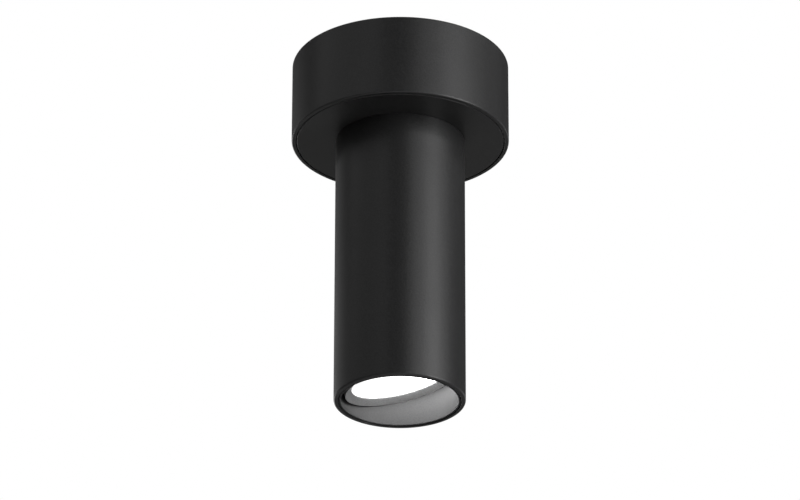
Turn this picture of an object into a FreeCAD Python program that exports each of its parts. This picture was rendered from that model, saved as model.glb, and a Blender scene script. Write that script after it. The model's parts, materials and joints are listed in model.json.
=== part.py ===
import FreeCAD, Part
import math
import os

# Ceiling cylinder light with a rotating inner sleeve and a tilting lamp head.
# Millimetres, +Z up. The origin is the centre of the ceiling plane, and the light hangs down from it.
# The lamp head is drawn straight down about its own pivot, then tilted and turned to where it points.

os.makedirs("parts", exist_ok=True)
Vector = FreeCAD.Vector
UP = Vector(0, 0, 1)
ORIGIN = Vector(0, 0, 0)

# Fits and cuts
overrun = 1.0
thread_clearance = 0.05
running_clearance = 0.05
slip_clearance = 0.15

# Canopy
canopy_diameter = 101.0
canopy_height = 39.3
canopy_wall = 1.95
canopy_lip_round = 0.35
base_plate_thickness = 3.0
base_plate_gap = 0.35
base_plate_chamfer = 0.4
lug_thickness = 2.0
lug_width = 11.0
lug_reach = 6.5
lug_angles = (90, 210, 330)
blind_hole_floor = 0.8

# Tube
tube_diameter = 60.0
tube_length = 132.0
tube_wall = 2.0
tube_mouth_round = 1.15
tube_top_round = 0.2
tube_inner_edge_round = 0.2
port_radius = 3.0
port_head_gap = 0.8
port_angles = (90, 210, 330)

# Where the lamp points and how far the head is tilted from straight down
aim_angle = 25.0
tilt_angle = 15.0
pivot_above_mouth = 13.0

# Ceiling bracket
bracket_edge_gap = 2.55
bracket_thickness = 1.5
bracket_slot_spacing = 64.0
bracket_slot_length = 12.0
bracket_slot_width = 4.6
ear_width = 12.0
ear_drop = 12.0
ear_gap = 1.05
ear_root = 6.0
ear_angles = (30, 150)
hook_angle = 270
hook_width = 10.0
hook_drop = 11.5
hook_reach = 3.1
hook_gap = 0.95
catch_height = 3.0
catch_width = 8.0
catch_reach = 3.35

# Cable grommet in the bracket
grommet_bore = 9.0
grommet_neck_wall = 2.0
grommet_flange_width = 2.2
grommet_flange_thickness = 1.5

# Side screws that hold the canopy on the bracket
side_screw_radius = 2.0
side_screw_length = 7.5
side_screw_head_radius = 3.2
side_screw_head_depth = 1.2
side_screw_drop = 7.0
side_screw_sink = 0.2

# Screws shared by several pieces
small_screw_radius = 1.5
small_screw_head_radius = 2.75
small_screw_head_height = 1.8
fine_screw_radius = 1.0
fine_screw_head_radius = 1.7
fine_screw_head_height = 1.2
driving_recess_share = 0.5
recess_depth_share = 0.55
base_plate_screw_inset = 3.15

# Driver
driver_corner_gap = 0.7
driver_far_gap = 9.05
driver_height = 20.0
driver_wall = 1.5
driver_near_side = 12.5
driver_lid_skirt = 1.2
driver_ear_length = 6.5
driver_ear_width = 8.0
driver_ear_offset = 8.0
driver_ear_thickness = 2.0
driver_post_radius = 1.5
driver_post_height = 2.5
driver_board_thickness = 1.6
driver_board_margin = 1.0
transformer_length = 14.0
transformer_width = 13.0
transformer_height = 10.5
transformer_flange = 1.2
capacitor_gap = 0.83
capacitor_height = 11.0
capacitor_foot = 0.6
capacitor_count = 2

# Terminal block and earth point
terminal_pole_pitch = 8.5
terminal_block_length = 27.0
terminal_block_width = 16.0
terminal_block_height = 14.0
terminal_near_side = -21.2
terminal_channel_radius = 1.9
terminal_channel_height = 7.0
terminal_well_radius = 1.9
terminal_screw_radius = 1.5
terminal_screw_sink = 1.0
terminal_rib_width = 1.4
earth_x = -31.0
earth_y = -4.5
earth_screw_radius = 2.0
earth_screw_head_radius = 3.6
earth_screw_head_height = 2.4
earth_tag_radius = 4.6
earth_tag_thickness = 0.8
crimp_radius = 1.5
crimp_start = 4.2
crimp_length = 5.5

# Threaded nipple between canopy and tube
nipple_radius = 5.0
nipple_bore_radius = 3.2
nipple_above_plate = 8.3
nipple_below_cap = 4.0
nipple_nut_flats = 14.0
nipple_nut_thickness = 3.0
nipple_washer_radius = 8.5
nipple_washer_thickness = 0.8
nipple_washer_teeth = 12
nipple_washer_tooth = 1.2
bush_flange_thickness = 1.2
bush_spigot_length = 4.0
cap_thickness = 5.0
cap_screw_radius = 1.45
cap_screw_head_radius = 2.8
cap_screw_head_depth = 1.5
cap_screw_length = 14.0
turn_pin_radius = 1.5
turn_pin_depth = 2.2
turn_pin_offset = 16.0

# Swivel
bulkhead_thickness = 3.0
bulkhead_screw_length = 10.0
swivel_gap = 2.0
rotor_thickness = 2.5
rotor_above_pivot = 60.0
rotor_scallop_radius = 3.3
swivel_bush_radius = 5.0
swivel_bush_flange_radius = 9.0
swivel_bush_flange_thickness = 2.0
slide_washer_radius = 11.5
spring_washer_radius = 9.5
spring_washer_thickness = 0.8
spring_washer_rise = 0.6
swivel_nut_flats = 17.0
swivel_nut_thickness = 4.0
swivel_thread_end = 0.6
stop_pin_radius = 1.0
stop_pin_inset = 6.4
stop_pin_gap = 0.4
stop_pin_seat = 1.5
bayonet_pin_radius = 1.0
bayonet_pin_seat = 4.0
bayonet_angles = (30, 150, 270)
bayonet_turn = 9.0

# Inner sleeve
sleeve_gap = 0.3
sleeve_wall = 1.0
sleeve_mouth_recess = 0.25
sleeve_mouth_round = 0.3
sleeve_top_gap = 0.5

# Lamp head, measured from its pivot with the light straight down
head_side_gap = 1.5
head_rim_gap = 0.35
head_throat_inset = 2.3
head_throat_depth = 2.0
head_lip_depth = 4.2
head_lip_land = 0.2
head_seat_thickness = 0.6
head_wall = 1.45
head_cylinder_height = 6.0
head_height = 20.0
head_taper_inset = 5.2
head_flange_thickness = 2.0
head_flange_width = 3.8
pivot_face_rise = 0.4
pivot_recess_gap = 0.3
tilt_washer_radius = 3.0
tilt_washer_thickness = 0.7
tilt_pin_radius = 1.5
tilt_pin_thread_radius = 1.0
tilt_pin_thread_length = 1.4
tilt_pin_slot_width = 0.5
tilt_pin_slot_depth = 0.6
tilt_pin_inset = 0.2

# Optics and light source
diffuser_thickness = 1.6
gasket_thickness = 0.6
reflector_wall = 0.95
reflector_top_gap = 0.6
reflector_rim_height = 1.4
holder_side_gap = 0.7
holder_corner_wall = 1.78
holder_thickness = 3.2
holder_window_gap = 1.0
holder_front_wall = 1.4
holder_screw_margin = 0.75
board_thickness = 1.0
board_play = 0.2
thermal_pad_thickness = 0.3
emitter_board_margin = 2.5
emitter_height = 0.5

# Heat sink
sink_edge_inset = 0.6
sink_base_thickness = 3.0
sink_core_radius = 6.0
sink_fin_count = 12
sink_fin_thickness = 1.4
sink_fin_height = 11.0
sink_fin_top_inset = 4.8
sink_fin_base_inset = 0.4
sink_screw_inset = 1.8
sink_screw_angles = (30, 150, 270)
sink_screw_length = 4.7
lead_hole_wall = 1.9

# Leads
core_radius = 0.9
lamp_lead_radius = 1.2
lead_play = 0.2
tail_height = 12.5
lead_loop_run = 7.0
lead_split_drop = 0.8
lead_clamp_length = 3.8
lead_clamp_width = 4.4
lead_clamp_height = 3.4
lead_run_share = 0.45

# Sizes and heights that follow from the ones above
canopy_radius = canopy_diameter / 2
canopy_bore = canopy_radius - canopy_wall
canopy_bottom = -canopy_height
plate_radius = canopy_bore - base_plate_gap
plate_top = canopy_bottom + base_plate_thickness
lug_top = plate_top + lug_thickness
tube_radius = tube_diameter / 2
tube_bore = tube_radius - tube_wall
mouth = canopy_bottom - tube_length
pivot_height = mouth + pivot_above_mouth
port_pitch_radius = tube_bore - cap_screw_head_radius - port_head_gap
stop_pin_orbit = port_pitch_radius - stop_pin_inset
sleeve_radius = tube_bore - sleeve_gap
sleeve_bore = sleeve_radius - sleeve_wall
bracket_radius = canopy_bore - bracket_edge_gap
cap_bottom = canopy_bottom - cap_thickness
rotor_bottom = pivot_height + rotor_above_pivot
rotor_top = rotor_bottom + rotor_thickness
bulkhead_bottom = rotor_top + swivel_gap
bulkhead_top = bulkhead_bottom + bulkhead_thickness
swivel_nut_bottom = bulkhead_top + spring_washer_thickness + spring_washer_rise
swivel_bush_top = swivel_nut_bottom + swivel_nut_thickness + swivel_thread_end
swivel_bush_bottom = rotor_bottom - swivel_bush_flange_thickness
rotor_radius = sleeve_bore - slip_clearance
driver_far_side = canopy_bore - driver_far_gap
driver_length = 2 * math.sqrt((canopy_bore - driver_corner_gap) ** 2 - driver_far_side ** 2)
driver_middle = (driver_near_side + driver_far_side) / 2
driver_ear_y = driver_near_side + driver_ear_offset
capacitor_run = (driver_length - transformer_length) / 2 - driver_wall
capacitor_radius = (capacitor_run - (capacitor_count + 1) * capacitor_gap) / capacitor_count / 2
driver_top = plate_top + driver_height
driver_board_bottom = plate_top + driver_wall + driver_post_height
driver_board_top = driver_board_bottom + driver_board_thickness
terminal_far_side = terminal_near_side - terminal_block_width
terminal_top = plate_top + terminal_block_height
terminal_channel_level = plate_top + terminal_channel_height
terminal_poles = (-terminal_pole_pitch, 0, terminal_pole_pitch)
blind_depth = base_plate_thickness - blind_hole_floor
driver_screw_x = driver_length / 2 + driver_ear_length / 2
head_radius = sleeve_bore - head_side_gap
head_rim_radius = sleeve_bore - head_rim_gap
head_lip_radius = math.sqrt(head_rim_radius ** 2 - head_lip_depth ** 2)
head_throat_radius = head_radius - head_throat_inset
head_top_radius = head_radius - head_taper_inset
head_flange_radius = head_top_radius - head_flange_width
diffuser_low = -head_throat_depth + head_seat_thickness
diffuser_high = diffuser_low + diffuser_thickness
gasket_high = diffuser_high + gasket_thickness
holder_low = head_height - holder_thickness
holder_radius = head_flange_radius - holder_side_gap
board_side = (holder_radius - holder_corner_wall) * math.sqrt(2) - 2 * board_play
board_edge = board_side / 2 + board_play
emitter_radius = board_side / 2 - emitter_board_margin
holder_window_radius = emitter_radius + holder_window_gap
holder_screw_offset = board_edge + slip_clearance + fine_screw_head_radius + holder_screw_margin
lead_hole_offset = board_edge + lamp_lead_radius + lead_play + lead_hole_wall
reflector_top_radius = holder_window_radius + reflector_top_gap
head_bore = head_radius - head_wall
sink_top = head_height + sink_base_thickness
sink_radius = head_top_radius - sink_edge_inset
sink_fin_top_radius = sink_radius - sink_fin_top_inset
sink_screw_pitch_radius = sink_radius - sink_screw_inset
pivot_face = head_radius + pivot_face_rise
pivot_recess_radius = tilt_washer_radius + pivot_recess_gap
lead_split = swivel_bush_bottom - lead_split_drop
grommet_neck_radius = grommet_bore / 2 + grommet_neck_wall

# Routes of the leads, chosen by hand from end to end
live_route = [
    (8.5, -25.0, -29.3), (8.5, -14.0, -29.3), (15.0, -4.0, -29.5), (18.0, 6.0, -29.8), (18.0, 17.0, -29.8)]
neutral_route = [
    (0.0, -25.0, -29.3), (0.0, -15.5, -29.3), (11.0, -5.0, -29.4), (12.0, 6.0, -29.8), (12.0, 17.0, -29.8)]
earth_route = [
    (-8.5, -25.0, -29.3), (-8.5, -14.0, -29.3), (-13.5, -6.0, -32.0), (-18.0, -4.5, -34.8),
    (-25.0, -4.5, -34.8)]
lamp_route = [
    (-14.0, 17.0, -29.5), (-14.0, 4.0, -29.5), (-12.5, -7.0, -19.0), (-6.5, -6.5, -9.5),
    (0.0, 0.0, -11.5), (0.0, 0.0, -32.0), (0.0, 0.0, -66.0), (0.0, 0.0, lead_split)]


def corner_arc(before, corner, after, radius):
    """The two tangent points and the middle point of an arc that rounds one corner."""
    back = before.sub(corner).normalize()
    ahead = after.sub(corner).normalize()
    half_angle = back.getAngle(ahead) / 2
    reach = radius / math.tan(half_angle)
    inward = back.add(ahead).normalize()
    middle = corner.add(inward.multiply(radius / math.sin(half_angle) - radius))
    return corner.add(back.multiply(reach)), middle, corner.add(ahead.multiply(reach))


def outline_wire(corners):
    """Closed wire through (radius, height) or (radius, height, round) corners in the XZ plane."""
    points = [Vector(corner[0], 0, corner[1]) for corner in corners]
    rounds = [corner[2] if len(corner) == 3 else 0 for corner in corners]
    stops = []
    for index, point in enumerate(points):
        before = points[index - 1]
        after = points[(index + 1) % len(points)]
        if rounds[index] > 0:
            stops.append(corner_arc(before, point, after, rounds[index]))
        else:
            stops.append((point, None, point))
    edges = []
    for index, stop in enumerate(stops):
        following = stops[(index + 1) % len(stops)]
        if stop[1] is not None:
            edges.append(Part.Arc(stop[0], stop[1], stop[2]).toShape())
        edges.append(Part.LineSegment(stop[2], following[0]).toShape())
    return Part.Wire(edges)


def turned(corners):
    """Solid of revolution about Z of a closed outline of (radius, height[, round]) corners."""
    return Part.Face(outline_wire(corners)).revolve(ORIGIN, UP, 360)


def ring(outer, inner, low, high):
    return turned([(inner, low), (outer, low), (outer, high), (inner, high)])


def rod(radius, low, high, x=0.0, y=0.0):
    return Part.makeCylinder(radius, high - low, Vector(x, y, low), UP)


def block(x_low, x_high, y_low, y_high, low, high):
    return Part.makeBox(x_high - x_low, y_high - y_low, high - low, Vector(x_low, y_low, low))


def hexagon(flats, low, high):
    """Six-sided prism about Z, with its width across the flats."""
    corner_radius = flats / 2 / math.cos(math.radians(30))
    angles = [math.radians(60 * step) for step in range(6)]
    corners = [Vector(corner_radius * math.cos(a), corner_radius * math.sin(a), low) for a in angles]
    return Part.Face(Part.makePolygon(corners + corners[:1])).extrude(Vector(0, 0, high - low))


def turned_about_z(shape, angle):
    copy = shape.copy()
    copy.rotate(ORIGIN, UP, angle)
    return copy


def around(shape, angles):
    """Copies of a shape at several angles about Z."""
    return [turned_about_z(shape, angle) for angle in angles]


def moved(shape, x, y, z):
    copy = shape.copy()
    copy.translate(Vector(x, y, z))
    return copy


def cut_all(shape, cutters):
    for cutter in cutters:
        shape = shape.cut(cutter)
    return shape


def fuse_all(shape, additions):
    for addition in additions:
        shape = shape.fuse(addition)
    return shape.removeSplitter()


def group(shapes):
    return Part.makeCompound(shapes)


def in_rotor(shape):
    """A piece of the rotating sleeve, turned from the X axis to where the lamp points."""
    return turned_about_z(shape, aim_angle)


def in_head(shape):
    """A piece of the lamp head, tilted about its pivot, turned to its aim and set at its height."""
    copy = shape.copy()
    copy.rotate(ORIGIN, Vector(0, -1, 0), tilt_angle)
    copy.rotate(ORIGIN, UP, aim_angle)
    copy.translate(Vector(0, 0, pivot_height))
    return copy


def pan_screw(radius, length, screw_head_radius, screw_head_height):
    """Screw along Z with its head's underside at zero, its shank below and a six-sided recess."""
    body = turned([
        (0, -length), (radius, -length), (radius, 0), (screw_head_radius, 0),
        (screw_head_radius, screw_head_height, screw_head_height / 2), (0, screw_head_height)])
    recess_floor = screw_head_height * (1 - recess_depth_share)
    recess = hexagon(
        2 * screw_head_radius * driving_recess_share, recess_floor, screw_head_height + overrun)
    return body.cut(recess)


def countersunk_screw(radius, length, screw_head_radius, head_depth):
    """Screw along Z with its flat head's top at zero."""
    body = turned([
        (0, -length), (radius, -length), (radius, -head_depth), (screw_head_radius, 0), (0, 0)])
    recess = hexagon(2 * radius * driving_recess_share, -head_depth * recess_depth_share, overrun)
    return body.cut(recess)


def countersunk_hole(radius, length, screw_head_radius, head_depth, clearance):
    """The hole that a countersunk screw sits in, open above zero."""
    return turned([
        (0, -length - overrun), (radius + clearance, -length - overrun),
        (radius + clearance, -head_depth), (screw_head_radius + clearance, 0),
        (screw_head_radius + clearance, overrun), (0, overrun)])


def lead(route, radius):
    """Round lead along straight runs joined by tangent arcs; returns its solid and its arc radii."""
    points = [Vector(*point) for point in route]
    edges = []
    radii = []
    start = points[0]
    for index in range(1, len(points) - 1):
        before, corner, after = points[index - 1], points[index], points[index + 1]
        turn = corner.sub(before).getAngle(after.sub(corner))
        if turn > math.radians(1):
            shorter = min(corner.sub(before).Length, after.sub(corner).Length)
            arc_radius = lead_run_share * shorter / math.tan(turn / 2)
            first, middle, last = corner_arc(before, corner, after, arc_radius)
            edges.append(Part.LineSegment(start, first).toShape())
            edges.append(Part.Arc(first, middle, last).toShape())
            radii.append(arc_radius)
            start = last
    edges.append(Part.LineSegment(start, points[-1]).toShape())
    path = Part.Wire(edges)
    section = Part.Wire(Part.makeCircle(radius, points[0], points[1].sub(points[0])))
    solid = path.makePipeShell([section], True, False)
    return solid, path.Length, radii


def ceiling_bracket():
    """Round steel plate with two ceiling slots, a cable hole, two screw ears and a front hook."""
    plate = rod(bracket_radius, -bracket_thickness, 0)
    ear_face = canopy_bore - ear_gap
    ear = block(ear_face - bracket_thickness, ear_face, -ear_width / 2, ear_width / 2, -ear_drop, 0)
    tab = block(ear_face - ear_root, ear_face, -ear_width / 2, ear_width / 2, -bracket_thickness, 0)
    hook_tip = canopy_bore - hook_gap
    leg_face = hook_tip - hook_reach
    leg = block(
        leg_face - bracket_thickness, leg_face, -hook_width / 2, hook_width / 2, -hook_drop, 0)
    foot = block(
        leg_face - bracket_thickness, hook_tip, -hook_width / 2, hook_width / 2,
        -hook_drop, -hook_drop + bracket_thickness)
    plate = fuse_all(plate, around(ear.fuse(tab), ear_angles) + around(leg.fuse(foot), [hook_angle]))
    ear_hole = Part.makeCylinder(
        side_screw_radius + thread_clearance, 2 * ear_root,
        Vector(ear_face - ear_root, 0, -side_screw_drop), Vector(1, 0, 0))
    return cut_all(plate, around(ear_hole, ear_angles) + bracket_slots() + [cable_hole()])


def bracket_slots():
    """The two long holes for the ceiling screws."""
    straight = (bracket_slot_length - bracket_slot_width) / 2
    slots = []
    for side in (-1, 1):
        centre = side * bracket_slot_spacing / 2
        middle = block(
            centre - straight, centre + straight, -bracket_slot_width / 2, bracket_slot_width / 2,
            -bracket_thickness - overrun, overrun)
        ends = [
            rod(bracket_slot_width / 2, -bracket_thickness - overrun, overrun, centre + end * straight)
            for end in (-1, 1)]
        slots.append(middle.fuse(ends))
    return slots


def cable_hole():
    return rod(grommet_neck_radius, -bracket_thickness - overrun, overrun)


def cable_grommet():
    """Rubber bush that lines the bracket's cable hole, with a flange below the plate."""
    bore = grommet_bore / 2
    flange_radius = grommet_neck_radius + grommet_flange_width
    flange_low = -bracket_thickness - grommet_flange_thickness
    soften = grommet_flange_thickness / 3
    return turned([
        (bore, flange_low, soften), (flange_radius, flange_low, soften),
        (flange_radius, -bracket_thickness), (grommet_neck_radius, -bracket_thickness),
        (grommet_neck_radius, 0), (bore, 0)])


def side_screw_at_x(shape):
    """Turns a screw or its hole from Z to point out along X at the canopy's side."""
    copy = shape.copy()
    copy.rotate(ORIGIN, Vector(0, 1, 0), 90)
    copy.translate(Vector(canopy_radius - side_screw_sink, 0, -side_screw_drop))
    return copy


def canopy_side_screws():
    screw = countersunk_screw(
        side_screw_radius, side_screw_length, side_screw_head_radius, side_screw_head_depth)
    return group(around(side_screw_at_x(screw), ear_angles))


def canopy_shell():
    """Turned ring with three inner lugs for the base plate and a catch that sits on the front hook."""
    wall = turned([
        (canopy_bore, canopy_bottom), (canopy_radius, canopy_bottom, canopy_lip_round),
        (canopy_radius, 0, canopy_lip_round), (canopy_bore, 0)])
    inside_wall = canopy_bore + canopy_wall / 2
    lug = block(
        canopy_bore - lug_reach, inside_wall, -lug_width / 2, lug_width / 2, plate_top, lug_top)
    catch_low = -hook_drop + bracket_thickness
    catch = block(
        canopy_bore - catch_reach, inside_wall, -catch_width / 2, catch_width / 2,
        catch_low, catch_low + catch_height)
    shell = fuse_all(wall, around(lug, lug_angles) + around(catch, [hook_angle]))
    lug_hole = rod(
        small_screw_radius + thread_clearance, plate_top - overrun, lug_top + overrun,
        canopy_bore - base_plate_screw_inset)
    side_hole = countersunk_hole(
        side_screw_radius, side_screw_length, side_screw_head_radius, side_screw_head_depth,
        thread_clearance)
    return cut_all(shell, around(lug_hole, lug_angles) + around(side_screw_at_x(side_hole), ear_angles))


def blind_hole(radius, x, y):
    """Hole from above into the base plate, which leaves its visible face whole."""
    return rod(radius + thread_clearance, plate_top - blind_depth, plate_top + overrun, x, y)


def base_plate():
    """Flush disc that closes the canopy and carries the tube, the driver and the terminals."""
    plate = turned([
        (0, canopy_bottom), (plate_radius - base_plate_chamfer, canopy_bottom),
        (plate_radius, canopy_bottom + base_plate_chamfer), (plate_radius, plate_top), (0, plate_top)])
    holes = [rod(nipple_radius + thread_clearance, canopy_bottom - overrun, plate_top + overrun)]
    lug_screw_x = canopy_bore - base_plate_screw_inset
    holes += around(blind_hole(small_screw_radius, lug_screw_x, 0), lug_angles)
    holes += [blind_hole(small_screw_radius, side * driver_screw_x, driver_ear_y) for side in (-1, 1)]
    holes += [blind_hole(fine_screw_radius, x, y) for x, y in terminal_fixing_places()]
    holes.append(blind_hole(earth_screw_radius, earth_x, earth_y))
    holes.append(rod(
        turn_pin_radius, canopy_bottom - overrun, canopy_bottom + turn_pin_depth, 0, -turn_pin_offset))
    return cut_all(plate, holes)


def base_plate_screws():
    length = lug_thickness + blind_depth - thread_clearance
    screw = pan_screw(small_screw_radius, length, small_screw_head_radius, small_screw_head_height)
    return group(around(moved(screw, canopy_bore - base_plate_screw_inset, 0, lug_top), lug_angles))


def driver_case():
    """Open box with a foot at each end, posts for its board and holes for the leads."""
    half = driver_length / 2
    outer = block(-half, half, driver_near_side, driver_far_side, plate_top, driver_top - driver_wall)
    inner = block(
        -half + driver_wall, half - driver_wall, driver_near_side + driver_wall,
        driver_far_side - driver_wall, plate_top + driver_wall, driver_top)
    foot = block(
        -half - driver_ear_length, half + driver_ear_length, driver_ear_y - driver_ear_width / 2,
        driver_ear_y + driver_ear_width / 2, plate_top, plate_top + driver_ear_thickness)
    case = outer.fuse(foot).cut(inner)
    case = fuse_all(case, [
        rod(driver_post_radius, plate_top + driver_wall / 2, driver_board_bottom, x, y)
        for x, y in driver_post_places()])
    holes = [
        rod(small_screw_radius + thread_clearance, plate_top - overrun,
            plate_top + driver_ear_thickness + overrun, side * driver_screw_x, driver_ear_y)
        for side in (-1, 1)]
    for route, radius in ((live_route, core_radius), (neutral_route, core_radius)):
        holes.append(lead_hole(route[-1], radius))
    holes.append(lead_hole(lamp_route[0], lamp_lead_radius))
    return cut_all(case, holes)


def lead_hole(place, radius):
    """Hole along Y through the driver's near wall, around a lead's end."""
    return Part.makeCylinder(
        radius + lead_play, driver_wall + 2 * overrun,
        Vector(place[0], driver_near_side - overrun, place[2]), Vector(0, 1, 0))


def driver_post_places():
    inset = driver_wall + driver_board_margin + driver_post_radius
    return [
        (side * (driver_length / 2 - inset), y)
        for side in (-1, 1) for y in (driver_near_side + inset, driver_far_side - inset)]


def driver_lid():
    """Lid with a skirt that drops inside the case."""
    half = driver_length / 2
    low = driver_top - driver_wall
    plate = block(-half, half, driver_near_side, driver_far_side, low, driver_top)
    edge = driver_wall + slip_clearance
    skirt = block(
        -half + edge, half - edge, driver_near_side + edge, driver_far_side - edge,
        low - driver_lid_skirt, low)
    hollow_edge = edge + driver_lid_skirt
    hollow = block(
        -half + hollow_edge, half - hollow_edge, driver_near_side + hollow_edge,
        driver_far_side - hollow_edge, low - driver_lid_skirt - overrun, low)
    return plate.fuse(skirt.cut(hollow)).removeSplitter()


def driver_board():
    edge = driver_wall + driver_board_margin
    half = driver_length / 2 - edge
    return block(
        -half, half, driver_near_side + edge, driver_far_side - edge,
        driver_board_bottom, driver_board_top)


def driver_transformer():
    """Wound core with a flange below and above its winding."""
    length, width = transformer_length, transformer_width
    top = driver_board_top + transformer_height
    core = block(
        -length / 2, length / 2, driver_middle - width / 2, driver_middle + width / 2,
        driver_board_top, top)
    waist = block(
        -length, length, driver_middle - width, driver_middle + width,
        driver_board_top + transformer_flange, top - transformer_flange)
    winding = rod(
        width / 2 - transformer_flange, driver_board_top, top, 0, driver_middle)
    return core.cut(waist).fuse(winding).removeSplitter()


def driver_capacitors():
    """Round capacitors in a row beside the transformer."""
    cans = []
    for place in range(capacitor_count):
        can = turned([
            (0, driver_board_top), (capacitor_radius - capacitor_foot, driver_board_top),
            (capacitor_radius, driver_board_top + capacitor_foot),
            (capacitor_radius, driver_board_top + capacitor_height, capacitor_foot),
            (0, driver_board_top + capacitor_height)])
        x = -transformer_length / 2 - capacitor_radius - capacitor_gap
        x -= place * (2 * capacitor_radius + capacitor_gap)
        cans.append(moved(can, x, driver_middle + capacitor_radius / 2, 0))
    return group(cans)


def driver_screws():
    length = driver_ear_thickness + blind_depth - thread_clearance
    screw = pan_screw(small_screw_radius, length, small_screw_head_radius, small_screw_head_height)
    top = plate_top + driver_ear_thickness
    return group([moved(screw, side * driver_screw_x, driver_ear_y, top) for side in (-1, 1)])


def terminal_fixing_places():
    middle = (terminal_near_side + terminal_far_side) / 2
    return [(side * terminal_pole_pitch / 2, middle) for side in (-1, 1)]


def terminal_block():
    """Three-pole screw terminal: a channel through each pole, two screw wells and two fixing holes."""
    body = block(
        -terminal_block_length / 2, terminal_block_length / 2, terminal_far_side, terminal_near_side,
        plate_top, terminal_top)
    cutters = []
    for x in terminal_poles:
        cutters.append(Part.makeCylinder(
            terminal_channel_radius, terminal_block_width + 2 * overrun,
            Vector(x, terminal_far_side - overrun, terminal_channel_level), Vector(0, 1, 0)))
        for y in terminal_screw_rows():
            cutters.append(rod(terminal_well_radius, terminal_channel_level, terminal_top + overrun, x, y))
    shoulder = terminal_channel_level
    for x, y in terminal_fixing_places():
        cutters.append(rod(
            fine_screw_radius + thread_clearance, plate_top - overrun, terminal_top + overrun, x, y))
        cutters.append(rod(
            fine_screw_head_radius + slip_clearance, shoulder, terminal_top + overrun, x, y))
    for side in (-1, 1):
        centre = side * terminal_pole_pitch / 2
        for edge in (terminal_near_side, terminal_far_side):
            groove = block(
                centre - terminal_rib_width / 2, centre + terminal_rib_width / 2,
                edge - terminal_rib_width, edge + terminal_rib_width,
                plate_top - overrun, terminal_top + overrun)
            cutters.append(groove)
    return cut_all(body, cutters)


def terminal_screw_rows():
    quarter = terminal_block_width / 4
    return (terminal_far_side + quarter, terminal_near_side - quarter)


def terminal_screws():
    """Six clamp screws, each down its well onto its lead."""
    top = terminal_top - terminal_screw_sink
    low = terminal_channel_level + core_radius
    screws = []
    for x in terminal_poles:
        for y in terminal_screw_rows():
            slot = block(
                x - terminal_screw_radius, x + terminal_screw_radius, y - terminal_screw_radius / 4,
                y + terminal_screw_radius / 4, top - terminal_screw_radius / 2, top + overrun)
            screws.append(rod(terminal_screw_radius, low, top, x, y).cut(slot))
    return group(screws)


def terminal_fixing_screws():
    length = terminal_channel_height + blind_depth - thread_clearance
    screw = pan_screw(fine_screw_radius, length, fine_screw_head_radius, fine_screw_head_height)
    return group([
        moved(screw, x, y, terminal_channel_level) for x, y in terminal_fixing_places()])


def earth_tag():
    """Ring tag under the earth screw, with the crimped barrel that holds the earth lead."""
    low = plate_top
    high = plate_top + earth_tag_thickness
    eye = rod(earth_tag_radius, low, high, earth_x, earth_y)
    tongue = block(
        earth_x, earth_x + crimp_start + crimp_length, earth_y - crimp_radius,
        earth_y + crimp_radius, low, high)
    barrel_start = Vector(earth_x + crimp_start, earth_y, low + crimp_radius)
    barrel = Part.makeCylinder(crimp_radius, crimp_length, barrel_start, Vector(1, 0, 0))
    bore = Part.makeCylinder(
        core_radius, crimp_length + overrun, barrel_start, Vector(1, 0, 0))
    hole = rod(earth_screw_radius + thread_clearance, low - overrun, high + overrun, earth_x, earth_y)
    tag = fuse_all(eye, [tongue.fuse(barrel)])
    return cut_all(tag, [bore, hole])


def earth_screw():
    length = earth_tag_thickness + blind_depth - thread_clearance
    screw = pan_screw(
        earth_screw_radius, length, earth_screw_head_radius, earth_screw_head_height)
    return moved(screw, earth_x, earth_y, plate_top + earth_tag_thickness)


def threaded_nipple():
    return ring(
        nipple_radius, nipple_bore_radius, cap_bottom - nipple_below_cap,
        plate_top + nipple_above_plate)


def nipple_washer():
    """Toothed lock washer under the upper nut."""
    washer = ring(
        nipple_washer_radius, nipple_radius + thread_clearance, plate_top,
        plate_top + nipple_washer_thickness)
    notch = block(
        nipple_washer_radius - nipple_washer_tooth, nipple_washer_radius + overrun,
        -nipple_washer_tooth / 2, nipple_washer_tooth / 2, plate_top - overrun, plate_top + overrun)
    angles = [360 / nipple_washer_teeth * step for step in range(nipple_washer_teeth)]
    return cut_all(washer, around(notch, angles))


def nipple_nuts():
    """One nut on the washer inside the canopy, and one under the tube's cap."""
    nuts = []
    for low in (plate_top + nipple_washer_thickness, cap_bottom - nipple_nut_thickness):
        nut = hexagon(nipple_nut_flats, low, low + nipple_nut_thickness)
        nuts.append(nut.cut(rod(
            nipple_radius + thread_clearance, low - overrun, low + nipple_nut_thickness + overrun)))
    return group(nuts)


def lead_bush(bore_radius, flange_radius, seat, direction):
    """Plastic bush whose spigot lines the end of a bore, with a flange on the bore's end face."""
    hole = lamp_lead_radius + lead_play
    flange_end = seat + direction * bush_flange_thickness
    spigot_end = seat - direction * bush_spigot_length
    outline = [
        (hole, spigot_end), (bore_radius - running_clearance, spigot_end),
        (bore_radius - running_clearance, seat), (flange_radius, seat),
        (flange_radius, flange_end, bush_flange_thickness / 2), (hole, flange_end)]
    return turned(outline)


def nipple_end_bush():
    return lead_bush(nipple_bore_radius, nipple_radius, plate_top + nipple_above_plate, 1)


def swivel_end_bush():
    return lead_bush(nipple_bore_radius, swivel_bush_radius, swivel_bush_bottom, -1)


def cap_screw_hole():
    hole = countersunk_hole(
        cap_screw_radius, cap_screw_length, cap_screw_head_radius, cap_screw_head_depth,
        thread_clearance)
    return moved(hole, port_pitch_radius, 0, canopy_bottom)


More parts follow.
